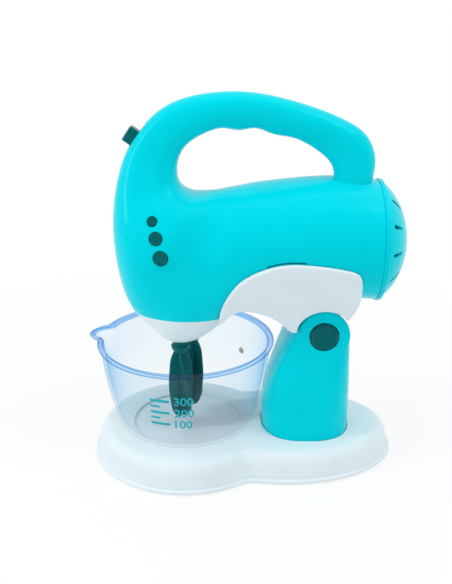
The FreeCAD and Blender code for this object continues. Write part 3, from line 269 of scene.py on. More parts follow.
def surface(name, grid, close_around=True, cap_start=False, cap_end=False):
    """Mesh of a grid in millimetres: row i, column j is joined to its neighbours. Ends may be fanned shut."""
    rows, columns = grid.shape[:2]
    points = grid.reshape(-1, 3)
    across = columns if close_around else columns - 1
    i, j = np.meshgrid(np.arange(rows - 1), np.arange(across), indexing="ij")
    k = (j + 1) % columns
    quads = np.stack([i * columns + j, i * columns + k, (i + 1) * columns + k, (i + 1) * columns + j], -1)
    faces = quads.reshape(-1, 4).tolist()
    for wanted, row, turn in ((cap_start, 0, -1), (cap_end, rows - 1, 1)):
        if wanted:
            ring = np.arange(columns) + row * columns
            points = np.vstack([points, grid[row].mean(axis=0)])
            fan = np.stack([ring, np.roll(ring, -turn), np.full(columns, len(points) - 1)], -1)
            faces += fan.tolist()
    mesh = bpy.data.meshes.new(name)
    mesh.from_pydata((points * 0.001).tolist(), [], faces)
    thing = bpy.data.objects.new(name, mesh)
    bpy.context.scene.collection.objects.link(thing)
    return thing


def tidy(thing, angle=32, turn=True):
    """Merges doubles, turns faces outwards, shades smoothly and keeps edges over an angle sharp."""
    form = bmesh.new()
    form.from_mesh(thing.data)
    bmesh.ops.remove_doubles(form, verts=form.verts, dist=2e-6)
    if turn:
        bmesh.ops.recalc_face_normals(form, faces=form.faces)
        if form.calc_volume(signed=True) < 0:
            bmesh.ops.reverse_faces(form, faces=form.faces)
    for face in form.faces:
        face.smooth = True
    for edge in form.edges:
        edge.smooth = not edge.is_manifold or edge.calc_face_angle(0) < math.radians(angle)
    form.to_mesh(thing.data)
    form.free()
    return thing


def settle(thing):
    """Puts the result of the modifiers into the mesh itself."""
    graph = bpy.context.evaluated_depsgraph_get()
    mesh = bpy.data.meshes.new_from_object(thing.evaluated_get(graph))
    thing.modifiers.clear()
    thing.data = mesh
    return thing


def carve(thing, tools, operation="DIFFERENCE"):
    """Cuts or joins closed shapes one after the other, then forgets the tools."""
    for tool in tools:
        tidy(tool)
        step = thing.modifiers.new("carve", "BOOLEAN")
        step.operation, step.object, step.solver = operation, tool, "EXACT"
        settle(thing)
        bpy.data.objects.remove(tool)
    return thing


def joined(name, parts):
    """Puts several pieces into one mesh."""
    form = bmesh.new()
    for part in parts:
        form.from_mesh(part.data)
    form.to_mesh(parts[0].data)
    form.free()
    for part in parts[1:]:
        bpy.data.objects.remove(part)
    parts[0].name = name
    return parts[0]


def dress(thing, finish, slot, body, *nodes):
    """Gives a piece its finish, the body it rides on and the nodes it stands for. The slot argument is not used.
    """
    thing.data.materials.clear()
    thing.data.materials.append(finish)
    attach(thing, body)
    if nodes:
        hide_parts(*nodes)
    print("%s: %d faces" % (thing.name, len(thing.data.polygons)))
    return thing


def box_tool(corners, name="tool"):
    """A closed box from its eight corners in millimetres, four below and four above."""
    return surface(name, np.array(corners, float).reshape(2, 4, 3), True, True, True)


def flat_box(x0, x1, y0, y1, z0, z1):
    """A box along the axes."""
    return box_tool([[(x0, y0, z), (x1, y0, z), (x1, y1, z), (x0, y1, z)] for z in (z0, z1)])


def turned(profile, centre, axis, sides=96):
    """A profile of (distance along the axis, radius) carried round the axis: place = centre + axis * distance
    + (across * cosine + other * sine) * radius."""
    axis = np.array(axis, float) / np.linalg.norm(axis)
    across = np.cross(axis, (0, 0, 1.0) if abs(axis[2]) < 0.9 else (1.0, 0, 0))
    across /= np.linalg.norm(across)
    other = np.cross(axis, across)
    angle = np.linspace(0, 2 * np.pi, sides, endpoint=False)
    ring = np.cos(angle)[:, None] * across + np.sin(angle)[:, None] * other
    profile = np.array(profile, float)
    return np.array(centre, float) + profile[:, :1, None] * axis + profile[:, 1:, None] * ring


def turned_tool(radius, start, end, sides=64):
    """A closed cylinder between two places."""
    axis = np.subtract(end, start)
    profile = [(0, radius), (np.linalg.norm(axis), radius)]
    return surface("tool", turned(profile, start, axis, sides), True, True, True)


def rounded(angle, power):
    """Superellipse: cosine and sine, each raised to two over the roundness, with their signs kept."""
    c, s = np.cos(angle), np.sin(angle)
    return np.sign(c) * abs(c) ** (2 / power), np.sign(s) * abs(s) ** (2 / power)


# %% [markdown]
# The head is one bent tube: it runs from the domed end along the barrel, swells into the nose, goes up the
# front of the mixer and comes back over the hand as the handle. Thirty-two stations give its inner and outer
# place in the middle plane, its half width and how square it is. A spline through all of them gives a skin
# that keeps one long highlight from the nose to the top of the grip.

# %% The head's stations
STATIONS = np.array([
    (75.5, 168, 75.5, 100, 34, 2.0), (62, 169.8, 62, 101, 34, 2.0), (48, 170.4, 46, 102.2, 33.6, 2.0),
    (33, 169.6, 29, 103, 33.2, 2.0), (18, 168, 13, 102.6, 33, 2.0), (6, 166.4, 1.5, 98.5, 32.4, 2.0),
    (-2, 164.8, -6.5, 90, 31.4, 2.05), (-7, 163.9, -17, 80.4, 30.6, 2.1), (-10.5, 163.2, -29, 73.2, 30, 2.15),
    (-13.5, 162.6, -42, 73.2, 30, 2.2), (-16.5, 162.2, -53, 82.5, 30.2, 2.2),
    (-19.5, 161.8, -63.4, 94.5, 30.4, 2.25), (-23, 161.4, -69.3, 111, 29.6, 2.3),
    (-27, 161.6, -72, 129, 27, 2.35), (-31.2, 163.4, -72.4, 146, 22.5, 2.4),
    (-34.4, 167, -70.9, 160, 17.5, 2.4), (-35.9, 173, -67.7, 173.6, 13.5, 2.4),
    (-34.9, 180.5, -62.6, 186.2, 11.2, 2.35),
    (-31.5, 186.8, -54.7, 197.4, 10, 2.3), (-26, 191.4, -44, 207.2, 9.4, 2.25),
    (-18.5, 195.2, -29.5, 213.5, 9.1, 2.2), (-9.5, 197, -13.5, 216.1, 9, 2.2), (-1.5, 196, -1, 216.4, 9, 2.2),
    (7, 197, 10.5, 215.2, 9, 2.2), (16, 194, 22, 212.8, 9, 2.2), (25, 192.4, 34, 209.5, 9, 2.2),
    (33, 189.6, 46, 205.4, 9.1, 2.2), (40.5, 185.2, 58, 200, 9.2, 2.2), (46.8, 180, 67.5, 193, 9.4, 2.2),
    (50.2, 173.5, 72.8, 181, 9.8, 2.2), (50.6, 165, 72, 169, 10.2, 2.2), (51.2, 155, 71, 157, 10, 2.2),
])


def head_grid(side, grow=0.0, along=340, around=64, whole=False):
    """Half ring at each station: centre + axis * c * reach - across * s * half width, then a spline through
    the stations. Side is -1 for the near half and 1 for the far half."""
    inner = np.stack([STATIONS[:, 0], np.zeros(len(STATIONS)), STATIONS[:, 1]], -1)
    outer = np.stack([STATIONS[:, 2], np.zeros(len(STATIONS)), STATIONS[:, 3]], -1)
    centre, reach = (inner + outer) / 2, np.linalg.norm(inner - outer, axis=1) / 2
    axis = (inner - centre) / reach[:, None]
    angle = np.linspace(0, 2 * np.pi if whole else np.pi, around, endpoint=not whole)
    c, s = rounded(angle[None, :], STATIONS[:, 5:6])
    if not whole:
        s[:, [0, -1]] = 0
    rows = centre[:, None] + axis[:, None] * (c * (reach + grow)[:, None])[..., None]
    rows[..., 1] += side * s * (STATIONS[:, 4:5] + grow)
    knots = chords(rows)
    return through(knots, rows, np.linspace(0, 1, along))


# %% The head's two shells and the nose cup
SPLIT = 94.0
SWITCH_PLACE, SWITCH_RUN = np.array([-58.65, 0, 191.8]), np.array([0.5764, 0, 0.8172])
SWITCH_OUT = np.array([-0.8172, 0, 0.5764])
KEY_OUT = np.array([-0.14458, -0.96741, 0.20791])
KEYS = [("speed_button_small", 2.6, -48.5, 151.6), ("speed_button_medium", 3.5, -46.6, 143),
        ("speed_button_large", 3.9, -44.2, 132.6)]


def switch_tool(along, out, half):
    """A box in the switch's own directions."""
    corners = [SWITCH_PLACE + SWITCH_RUN * a + SWITCH_OUT * b for a, b in
               ((along[0], out[0]), (along[1], out[0]), (along[1], out[1]), (along[0], out[1]))]
    return box_tool([[c + np.array([0, y, 0]) for c in corners] for y in (-half, half)])


def halves(side):
    """Splits one half skin at the nose into the turquoise part above and the white part below."""
    skin = surface("head_skin", head_grid(side), close_around=False)
    form = bmesh.new()
    form.from_mesh(skin.data)
    everything = list(form.verts) + list(form.edges) + list(form.faces)
    bmesh.ops.bisect_plane(form, geom=everything, plane_co=(0, 0, SPLIT * 0.001), plane_no=(0, 0, 1))
    above, below = bpy.data.meshes.new("above"), bpy.data.meshes.new("below")
    for mesh, sign in ((above, 1), (below, -1)):
        part = form.copy()
        wrong = [f for f in part.faces if sign * (f.calc_center_median().z - SPLIT * 0.001) < 0]
        bmesh.ops.delete(part, geom=wrong, context="FACES")
        part.to_mesh(mesh)
        part.free()
    form.free()
    bpy.data.objects.remove(skin)
    return above, below


def wall(thing, thickness, inward=-1):
    """Gives a skin its thickness towards the inside."""
    step = thing.modifiers.new("wall", "SOLIDIFY")
    step.thickness, step.offset, step.use_even_offset = thickness * 0.001, inward, False
    return settle(thing)


def face_out(mesh, centre_of):
    """Turns all faces of an open skin when most of them look towards the middle of the tube."""
    form = bmesh.new()
    form.from_mesh(mesh)
    vote = sum(f.normal.dot(f.calc_center_median() - centre_of(f)) for f in form.faces)
    if vote < 0:
        bmesh.ops.reverse_faces(form, faces=form.faces)
    form.to_mesh(mesh)
    form.free()


door = (15, 65, -15.5, 15.5, 60, 114.6)
cup_parts = []
shells = {}
for side, name in ((-1, "head_near_skin"), (1, "head_far_skin")):
    above, below = halves(side)
    for mesh in (above, below):
        face_out(mesh, lambda f: Vector((f.calc_center_median().x, 0, f.calc_center_median().z)))
    shell = bpy.data.objects.new(name, above)
    cup = bpy.data.objects.new("cup_half", below)
    for thing in (shell, cup):
        bpy.context.scene.collection.objects.link(thing)
    shells[side] = wall(shell, 2.2)
    cup_parts.append(cup)
key_places = {}
for name, radius, x, z in KEYS:
    hit, place, normal, index = shells[-1].ray_cast((x * 0.001, -0.2, z * 0.001), (0, 1, 0))
    key_places[name] = np.array(place) * 1000
    print(name, "sits at", key_places[name].round(2))
HEAD_WELLS = [(-4, 206.3, 3.5), (-61.5, 141, 9), (6, 152, 14), (66, 150, 14)]
LATCH = np.array([(12.8, 127.4), (19.4, 129.2), (28.8, 130), (34.2, 129.8)])


def well(thing, x, z, depth):
    """Sleeve of a screw well on the far side: a thin cup from the screw's seat out to the skin."""
    hit, place, normal, index = thing.ray_cast((x * 0.001, 0.2, z * 0.001), (0, -1, 0))
    length = place[1] * 1000 - depth
    cup = [(-1.2, 0.01), (-1.2, 3.4), (length - 0.8, 3.4), (length - 0.8, 2.8), (0, 2.8), (0, 0.01)]
    return tidy(surface("well", turned(cup, (x, depth, z), (0, 1, 0), 48), True, True, True))


def latch_slot():
    """A thin curved slot in the near skin, just over the cradle's upper edge."""
    line = through(chords(LATCH), LATCH, np.linspace(0.01, 0.99, 17))
    rows = [np.stack([line[:, 0], np.full(17, y), line[:, 1] + z], -1) for y, z in
            ((-45, 0.42), (-45, 1.23), (-28.7, 1.23), (-28.7, 0.42))]
    return surface("tool", np.array(rows).transpose(1, 0, 2), True, True, True)


for side, shell in shells.items():
    tools = [flat_box(*door), switch_tool((-4.9, 9.9), (-4.4, 9), 3.8)]
    if side == -1:
        tools += [turned_tool(r + 0.35, key_places[n] - KEY_OUT * 6, key_places[n] + KEY_OUT * 6)
                  for n, r, x, z in KEYS] + [latch_slot()]
        carve(shell, tools)
    else:
        sleeves = [well(shell, *place) for place in HEAD_WELLS]
        tools += [turned_tool(2.8, (x, depth, z), (x, 60, z)) for x, z, depth in HEAD_WELLS]
        carve(shell, tools)
        shell = joined(shell.name, [shell] + sleeves)
    tidy(shell, 40, turn=False)
dress(shells[-1], turquoise, "turquoise_plastic", "head", "head_near_shell")
dress(shells[1], turquoise, "turquoise_plastic", "head", "head_far_shell")

# %% [markdown]
# The three speed buttons are turned forms: a flange behind the skin, a barrel through its hole, a rounded
# rim, and a face that is dished by a quarter of a millimetre, so that each button has a fine bright edge.
# The power switch is a block with rounded corners, which stands in the slot at the top of the nose.

# %% The buttons and the switch
for name, radius, x, z in KEYS:
    profile = np.array([(-5, 0.01), (-5, radius + 1.1), (-4, radius + 1.1), (-4, radius), (0.3, radius),
                        (0.55, radius - 0.12), (0.7, radius - 0.4), (0.68, radius - 0.62), (0.45, radius - 0.8),
                        (0.42, 0.01)])
    key = tidy(surface(name + "_skin", turned(profile, key_places[name], KEY_OUT, 64), True, True, True), 50)
    dress(key, teal, "teal_plastic", {"speed_button_small": "key_small", "speed_button_medium": "key_medium",
                                      "speed_button_large": "key_large"}[name], name)


def rounded_block(frame_of, half_along, half_across, levels):
    """Rounded rectangle at each level: a superellipse of power 7 with its half sizes less the level's inset."""
    angle = np.linspace(0, 2 * np.pi, 96, endpoint=False)
    c, s = rounded(angle, 7)
    place, run, out = frame_of
    rows = [place + out * level + run * (c * (half_along - inset))[:, None]
            + np.array([0, 1, 0]) * (s * (half_across - inset))[:, None] for level, inset in levels]
    return surface("block", np.array(rows), True, True, True)


corner = [(5.5 - 1.2 * (1 - math.sin(a)), 1.2 * (1 - math.cos(a))) for a in np.linspace(0, math.pi / 2, 8)]
switch_frame = (SWITCH_PLACE, SWITCH_RUN, SWITCH_OUT)
thumb = tidy(rounded_block(switch_frame, 4.6, 3.5, [(-4.8, 0)] + corner[:-1] + [(5.5, 1.6)]), 40)
runner = tidy(rounded_block(switch_frame, 6.8, 4.5, [(-6.0, 0), (-4.8, 0)]), 40)
dress(joined("switch_skin", [thumb, runner]), teal, "teal_plastic", "switch", "switch_slider")

# %% The nose cup
cup = joined("nose_cup_skin", cup_parts)
tidy(cup, 60, turn=False)
wall(cup, 2.0)
for x, y in ((-36, -7.4), (-30, 7.4)):
    carve(cup, [turned_tool(4.5, (x, y, 60), (x, y, 80)), turned_tool(5.7, (x, y, 60), (x, y, 72.15))])
tidy(cup, 40, turn=False)
dress(cup, white, "white_plastic", "head", "nose_cup")

# %% [markdown]
# The rear cap is a turned form: a profile of an ellipse carried round the barrel's axis, with a raised ring at
# its edge and twelve slots cut through it like the hours of a clock.

# %% The rear cap
arc = np.linspace(0, np.pi / 2, 40)
END, HEIGHT = 75.5, 134.0
outside = np.stack([17.5 * np.sin(arc) ** 1.36, 34 * np.cos(arc)], -1)
inside = np.stack([15.3 * np.sin(arc) ** 1.36, 31.8 * np.cos(arc)], -1)
ring = [(0.15, 31.8), (0.15, 34.2), (0.35, 34.6), (0.7, 34.7), (2.0, 34.7), (2.45, 34.5), (2.6, 34.0),
        (2.6, 33.3)]
profile = np.vstack([inside[::-1], ring, outside[outside[:, 0] > 2.9]])
cap = surface("rear_cap_skin", turned(profile[1:-1], (END, 0, HEIGHT), (1, 0, 0), 128), True, True, True)
tidy(cap)
slots = []
for number in range(12):
    turn = math.pi / 6 * number
    out, aside = np.array([0, -math.sin(turn), math.cos(turn)]), np.array([0, math.cos(turn), math.sin(turn)])
    base = np.array([END, 0, HEIGHT])
    slots.append(box_tool([[base + np.array([x, 0, 0]) + out * r + aside * a for r, a in
                            ((24, -1), (31, -1), (31, 1), (24, 1))] for x in (2.7, 30)]))
carve(cap, slots)
tidy(cap, 35, turn=False)
dress(cap, turquoise, "turquoise_plastic", "head", "rear_cap")

# %% [markdown]
# The base is a closed stack of outlines. Each outline is a smooth larger-of of a circle, under the bowl, and
# an ellipse, under the column, both seen from the frame's origin. The wall slopes in and rounds over, and
# the foot carries a thin lip.


# %% The base
def base_radius(angle, shrink):
    """Distance to the outline: the circle's and the ellipse's distances to the eighteenth power, added, and
    the eighteenth root of that."""
    c, s = np.cos(angle), np.sin(angle)
    along = -33 * c
    circle = along + np.sqrt(along**2 - 33**2 + (56.5 - shrink) ** 2)
    length, width = 66 - shrink, 46 - shrink
    a, b = (c / length) ** 2 + (s / width) ** 2, 27 * c / length**2
    ellipse = (b + np.sqrt(b**2 - a * ((27 / length) ** 2 - 1))) / a
    return (circle**18 + ellipse**18) ** (1 / 18)


around = np.linspace(0, 2 * np.pi, 240, endpoint=False)


def base_stack(levels):
    """The outline, shrunk by an inset, at each height."""
    rows = []
    for inset, height in levels:
        radius = base_radius(around, inset)
        rows.append(np.stack([radius * np.cos(around), radius * np.sin(around), np.full_like(around, height)], -1))
    return np.array(rows)


wall_line = np.array([(1.5, 3.1), (1.62, 4.4), (2.2, 6.8), (3.2, 11.5), (4.7, 14.9), (6.0, 16.4), (7.6, 17.35),
                      (9.4, 17.85), (11.5, 18.0)])
foot_line = np.array([(3.4, 0.8), (1.2, 0.8), (0.5, 0.85), (0.15, 1.1), (0, 1.5), (0.05, 2.0), (0.3, 2.45),
                      (0.8, 2.75), (1.3, 2.88)])
smooth_wall = through(chords(wall_line), wall_line, np.linspace(0, 1, 36))
base = surface("base_skin", base_stack(np.vstack([foot_line, smooth_wall])), True, True, True)
tidy(base, 50)


def oval(front, rear, half_width, roundness, grow, sides=96):
    """Superellipse between a front and a rear end, in the plane."""
    angle = np.linspace(0, 2 * np.pi, sides, endpoint=False)
    c, s = rounded(angle, roundness)
    return np.stack([(front + rear) / 2 + c * ((rear - front) / 2 + grow), s * (half_width + grow)], -1)


def upright_tool(outline, low, high):
    """A closed upright prism of a flat outline."""
    rows = [np.column_stack([outline, np.full(len(outline), z)]) for z in (low, high)]
    return surface("tool", np.array(rows), True, True, True)


hole = upright_tool(oval(13, 65.4, 27, 2.5, 0.4), -5, 60)
hollow = surface("tool", base_stack(((3.6, -3), (4.5, 8), (9, 15.4))), True, True, True)
seat = turned_tool(32.9, (-33, 0, 16.8), (-33, 0, 60), 128)
carve(base, [hollow, hole, seat])
tidy(base, 40, turn=False)
dress(base, white, "white_plastic", "stand", "base_shell")

# %% [markdown]
# The column is a stack of superellipses that leans back and turns from an oval foot to a squarer neck. Two
# discs make its round ears, and the button's well is bored into the near one.

# %% The column
SECTIONS = np.array([(2.8, 13, 65.4, 27, 2.5), (19, 13, 65.4, 27, 2.5), (28, 12.5, 65.3, 26.6, 2.6),
                     (39, 13.8, 65.1, 26, 2.8), (50, 16.4, 64.6, 25.2, 3.2), (62, 20.4, 63.9, 24, 3.8),
                     (72, 24.4, 63.3, 23, 4.6), (84.6, 30.4, 62.2, 21.9, 5.6)])
PIVOT = np.array([46.8, 0, 83])


def column_grid(grow, rows=90):
    """Superellipse at each height, with its ends, width and roundness from a spline through the sections."""
    heights = np.linspace(SECTIONS[0, 0], SECTIONS[-1, 0], rows)
    sizes = through(SECTIONS[:, 0], SECTIONS[:, 1:], heights)
    return np.stack([np.column_stack([oval(f, r, w, n, grow, 120), np.full(120, z)])
                     for z, (f, r, w, n) in zip(heights, sizes)])


column = surface("column_skin", column_grid(0), True, True, True)
tidy(column, 50)
ear = np.array([(-22, 13.6), (-21.93, 14.15), (-21.7, 14.6), (-21.3, 14.85), (-20.8, 14.9), (20.8, 14.9),
                (21.3, 14.85), (21.7, 14.6), (21.93, 14.15), (22, 13.6)])
ears = surface("tool", turned(ear, PIVOT, (0, 1, 0), 128), True, True, True)
tidy(ears)
carve(column, [ears], "UNION")
inner = surface("tool", column_grid(-2.4), True, True, True)
tidy(inner)
slot = flat_box(37.2, 90, -19.6, 19.6, 79, 120)
room = turned_tool(13.6, PIVOT - [0, 19.6, 0], PIVOT + [0, 19.6, 0], 96)
button_well = turned_tool(8.6, PIVOT - [0, 40, 0], PIVOT - [0, 11, 0], 96)
pin_seat = turned_tool(5, PIVOT + [0, 20.8, 0], PIVOT + [0, 40, 0], 64)
sleeves = [well(column, 40, z, 12) for z in (38, 58)]
wells = [turned_tool(2.8, (40, 12, z), (40, 60, z)) for z in (38, 58)]
dimple = turned_tool(0.45, (33, -40, 37), (33, -25.3, 37))
carve(column, [inner, slot, room, button_well, pin_seat, dimple] + wells)
column = joined("column_skin", [column] + sleeves)
tidy(column, 35, turn=False)
dress(column, turquoise, "turquoise_plastic", "stand", "column_near_shell", "column_far_shell")
face = turned([(-3.5, 0.01), (-3.5, 8), (0.1, 8), (0.25, 7.9), (0.95, 7.0), (1.0, 6.8), (0.6, 6.4), (0.55, 6.2),
               (0.6, 0.01)], PIVOT - [0, 22, 0], (0, -1, 0), 96)
button = tidy(surface("pivot_button_skin", face, True, True, True), 50)
dress(button, teal, "teal_plastic", "button", "pivot_button")

# %% [markdown]
# The bowl is worked out from the same formula inside and outside: a circle whose radius grows with height,
# plus a swell towards the front that makes the pouring spout. Its wall is a real one, 1.8 mm thick, because
# clear plastic only looks right when light enters and leaves it.


# %% The bowl
def bowl_place(radius, height, angle):
    """Place on the bowl: radius plus spout, where the spout is reach * (1 - offset squared) and fades below
    the rim, and dips a little at its tip."""
    off = np.minimum(abs(np.degrees(angle) - 170) / 11.6, 1)
    swell = 1 - off**2
    rise = np.clip(1 - (73.8 - height) / 15, 0, 1.05) ** 1.4
    reach = radius + 7.8 * swell * rise
    lower = 1.6 * swell * rise**2
    return np.stack([-33 + reach * np.cos(angle), reach * np.sin(angle), height - lower], -1)


turn = np.linspace(0, np.pi / 2, 22)
FOOT_Z, FLOOR_TURN, LIP_Z = 16.86, 8.6, 70.6
wall_z = FOOT_Z + FLOOR_TURN


def wall_radius(height):
    """Outside radius of the bowl's wall: nearly a cone, and a little rounder towards its foot."""
    share = np.clip((height - wall_z) / (LIP_Z - wall_z), 0, 1)
    return 42.3 + 8.2 * (0.4 * share + 0.6 * (1 - (1 - share) ** 2))


heights = np.linspace(wall_z, 70.2, 44)
outer_foot = np.stack([22 + 20.3 * np.sin(turn), FOOT_Z + FLOOR_TURN * (1 - np.cos(turn))], -1)
outer_wall = np.stack([wall_radius(heights), heights], -1)
lip_turn = np.linspace(-0.45 * np.pi, 1.0 * np.pi, 18)
lip = np.stack([50.9 + 1.5 * np.cos(lip_turn), 72.2 + 1.5 * np.sin(lip_turn)], -1)
inner_heights = np.linspace(71.2, wall_z + 1.8, 44)
inner_wall = np.stack([wall_radius(inner_heights) - 1.8, inner_heights], -1)
last = inner_wall[-1, 0]
inner_turn = turn[::-1]
inner_foot = np.stack([21 + (last - 21) * np.sin(inner_turn),
                       FOOT_Z + 1.8 + FLOOR_TURN * (1 - np.cos(inner_turn))], -1)
bowl_profile = np.vstack([outer_foot, outer_wall[1:], lip, inner_wall, inner_foot[1:]])
angles = np.radians(np.unique(np.concatenate([np.arange(0, 360, 1.5), np.arange(154.5, 186, 0.5)])))
grid = np.stack([bowl_place(r, np.full_like(angles, z), angles) for r, z in bowl_profile])
bowl = surface("bowl_skin", grid, True, True, True)
tidy(bowl, 60)
dress(bowl, bowl_clear, "clear_plastic", "bowl_body", "bowl")

# %% [markdown]
# The bowl carries a printed measuring scale. Its bars and numbers are drawn flat, as places across and up, and
# then wrapped: the place across becomes an angle round the bowl, the place up a height on its wall.

# %% The measuring scale
FRONT = math.radians(-93)


def wrapped(flat, proud):
    """Flat places in millimetres onto the wall: angle = front + across / radius, height = 48.5 + up."""
    height = 48.5 + flat[:, 1]
    radius = wall_radius(height)
    return bowl_place(radius + proud, height, FRONT + flat[:, 0] / radius)


def bar(left, right, middle, thick):
    """A bar with round ends, as a row of places above its middle line and a row below."""
    across = np.linspace(left, right, 24)
    end = np.minimum(across - left, right - across)
    half = np.sqrt(np.maximum((thick / 2) ** 2 - np.maximum(thick / 2 - end, 0) ** 2, 1e-3))
    rows = [np.stack([across, middle + sign * half], -1) for sign in (-1, 1)]
    grid = np.array([wrapped(row, 0.04) for row in rows])
    return surface("bar", grid, close_around=False)


def number(text, left, middle, height):
    """Digits of Blender's own font, made a mesh and wrapped."""
    curve = bpy.data.curves.new("number", "FONT")
    curve.body, curve.size, curve.offset, curve.resolution_u = text, 1, 0.018, 6
    thing = bpy.data.objects.new("number", curve)
    bpy.context.scene.collection.objects.link(thing)
    mesh = bpy.data.meshes.new_from_object(thing.evaluated_get(bpy.context.evaluated_depsgraph_get()))
    places = np.zeros(len(mesh.vertices) * 3)
    mesh.vertices.foreach_get("co", places)
    places = places.reshape(-1, 3)[:, :2] * height / 0.7
    places = places + (left - places[:, 0].min(), middle - height / 2 - places[:, 1].min())
    mesh.vertices.foreach_set("co", (wrapped(places, 0.04) * 0.001).ravel())
    bpy.data.objects.remove(thing)
    drawn = bpy.data.objects.new("digits", mesh)
    bpy.context.scene.collection.objects.link(drawn)
    return drawn


marks = []
for up, text in ((7.5, "300"), (-0.4, "200"), (-8.3, "100")):
    marks += [bar(-16, -4.5, up, 1.7), number(text, -2, up, 5.2)]
marks += [bar(-16, -10, up, 1.3) for up in (3.6, -4.3)]
scale = tidy(joined("measuring_scale", marks), 60, turn=False)
form = bmesh.new()
form.from_mesh(scale.data)
axis = Vector((-0.033, 0, 0))
inward = [f for f in form.faces if f.normal.dot(f.calc_center_median() - axis) < 0]
bmesh.ops.reverse_faces(form, faces=inward)
form.to_mesh(scale.data)
form.free()
wall(scale, 0.12, inward=1)
dress(scale, ink, "turquoise_plastic", "bowl_body")
spot_turn, spot_height = math.radians(42.8), 49.6
spot_out = np.array([math.cos(spot_turn), math.sin(spot_turn), 0])
spot_place = np.array([-33, 0, spot_height]) + spot_out * (wall_radius(spot_height) - 1.8)
spot = turned([(0.1, 0.01), (0.1, 2.1), (-0.12, 2), (-0.16, 0.01)], spot_place, spot_out, 40)
dress(tidy(surface("gate_spot", spot, True, True, True)), mark, "clear_plastic", "bowl_body")


# %% [markdown]
# A beater is two thin blades that cross at a right angle and twist on their way down. The section of a blade
# is a long slot shape; the blade grows wider and narrower again along the beater, and turns with depth.

# %% The beaters
TOP, BOTTOM = 67.8, 25.4
OUTLINE = np.array([(67.8, 3.6), (64.5, 5.2), (55.9, 6.9), (46.3, 8.1), (37.7, 8.3), (31, 7.6), (27.4, 5.7),
                    (25.4, 3.5)])


def blade(axis, hand, quarter, name):
    """Slot-shaped section of half length R and half thickness t, turned by the twist at each height."""
    heights = np.linspace(TOP, BOTTOM, 90)
    radius = through(OUTLINE[::-1, 0], OUTLINE[::-1, 1], heights)
    share = (TOP - heights) / (TOP - BOTTOM)
    heading = hand * np.radians(60) * share + quarter * np.pi / 2
    half = 0.85
    bend = np.linspace(-np.pi / 2, np.pi / 2, 9)
    long_side = np.concatenate([np.cos(bend) * half - half, -np.cos(bend) * half + half])
    sign = np.concatenate([np.ones(9), -np.ones(9)])
    thick = np.concatenate([np.sin(bend), -np.sin(bend)]) * half
    a = sign * radius[:, None] + long_side
    x = a * np.cos(heading)[:, None] - thick * np.sin(heading)[:, None]
    y = a * np.sin(heading)[:, None] + thick * np.cos(heading)[:, None]
    grid = np.stack([x + axis[0], y + axis[1], np.broadcast_to(heights[:, None], x.shape)], -1)
    return tidy(surface(name, grid, True, True, True))


for name, axis, hand in (("beater_near", (-36, -7.4), 1), ("beater_far", (-30, 7.4), -1)):
    parts = [blade(axis, hand, quarter, name + "_blade") for quarter in (0, 1)]
    stem = np.array([(25.8, 0.4), (26.2, 1.5), (66.4, 1.5), (66.8, 3.3), (69.9, 5.2), (70.2, 5.3), (71.6, 5.3),
                     (71.8, 5.1), (71.9, 4.23), (76.4, 4.23), (76.5, 2.2), (81.8, 2.2)])
    stem = turned(stem, (axis[0], axis[1], 0), (0, 0, 1), 64)
    parts.append(tidy(surface(name + "_stem", stem, True, True, True)))
    whole = joined(name + "_blades", parts)
    dress(whole, teal, "teal_plastic", "drive_near" if name == "beater_near" else "drive_far", name)

# %% [markdown]
# The cradle is a thick plate with rounded edges, drawn from the side as one closed line and given its width
# by a curve over its height. Its rim is rounded over, which catches a thin line of light along the top.

# %% The cradle's outline
UPPER = np.array([(-13.1, 91.2), (-11.9, 100.6), (-7.4, 111.3), (-1.8, 118.8), (4, 123.2), (12, 127),
                  (19.4, 129.2), (28.8, 130), (38.2, 129.4), (49.5, 128), (58.4, 126.2)])
REAR = np.array([(58.4, 126.2), (62.6, 124), (64.8, 116.6), (64.4, 107), (61.2, 98), (59.2, 94.8)])
LOWER = np.array([(30, 85.6), (28.2, 85.9), (24.2, 89.6), (19.3, 94.3), (13.4, 98), (5.7, 100.4), (-1, 100.8),
                  (-8, 96.4), (-13.1, 91.2)])
WIDTH = np.array([(76, 22.4), (84, 22.6), (92, 25.6), (100, 28.8), (108, 31.2), (116, 33), (124, 34.6),
                  (131, 35.4)])


def smooth_line(points, count):
    """Spline through flat places, evenly shared out along it."""
    return through(chords(points), points, np.linspace(0, 1, count))


arc = np.radians(np.linspace(35, 179.5, 60))
under = np.stack([46.2 + 15.3 * np.cos(arc), 85.6 + 15.3 * np.sin(arc)], -1)
outline = np.vstack([smooth_line(UPPER, 90)[:-1], smooth_line(REAR, 50)[:-1], under,
                     smooth_line(LOWER, 80)[:-1]])


def inset_line(line, distance, spine):
    """Moves each place of the line towards the spine by a distance."""
    towards = spine - line
    length = np.linalg.norm(towards, axis=1, keepdims=True)
    return line + towards / length * np.minimum(distance, length * 0.98)


middle_line = np.array([(-9.5, 94.6), (-5, 101.5), (3, 108), (14, 112), (26, 111), (38, 110.5), (50, 110),
                        (58, 106)])
middle = smooth_line(middle_line, 400)
nearest = np.argmin(np.linalg.norm(outline[:, None] - middle[None], axis=-1), axis=1)
spine = middle[nearest]
RIM = 1.3
rings = []
for side in (-1, 1):
    half = []
    for inset, drop in [(0, RIM + 6), (0, RIM)] + [(RIM * (1 - math.cos(a)), RIM * (1 - math.sin(a)))
                                                   for a in np.linspace(0.2, math.pi / 2, 6)]:
        line = inset_line(outline, inset, spine)
        half.append((line, drop))
    for share in np.linspace(0.06, 1, 16):
        line = inset_line(outline, RIM, spine)
        half.append((line + (spine - line) * share, 0.0))
    rows = []
    for line, drop in half:
        width = through(WIDTH[:, 0], WIDTH[:, 1], line[:, 1])
        rows.append(np.stack([line[:, 0], side * (width - drop), line[:, 1]], -1))
    rings.append(rows)
grid = np.array(rings[0][::-1] + rings[1])
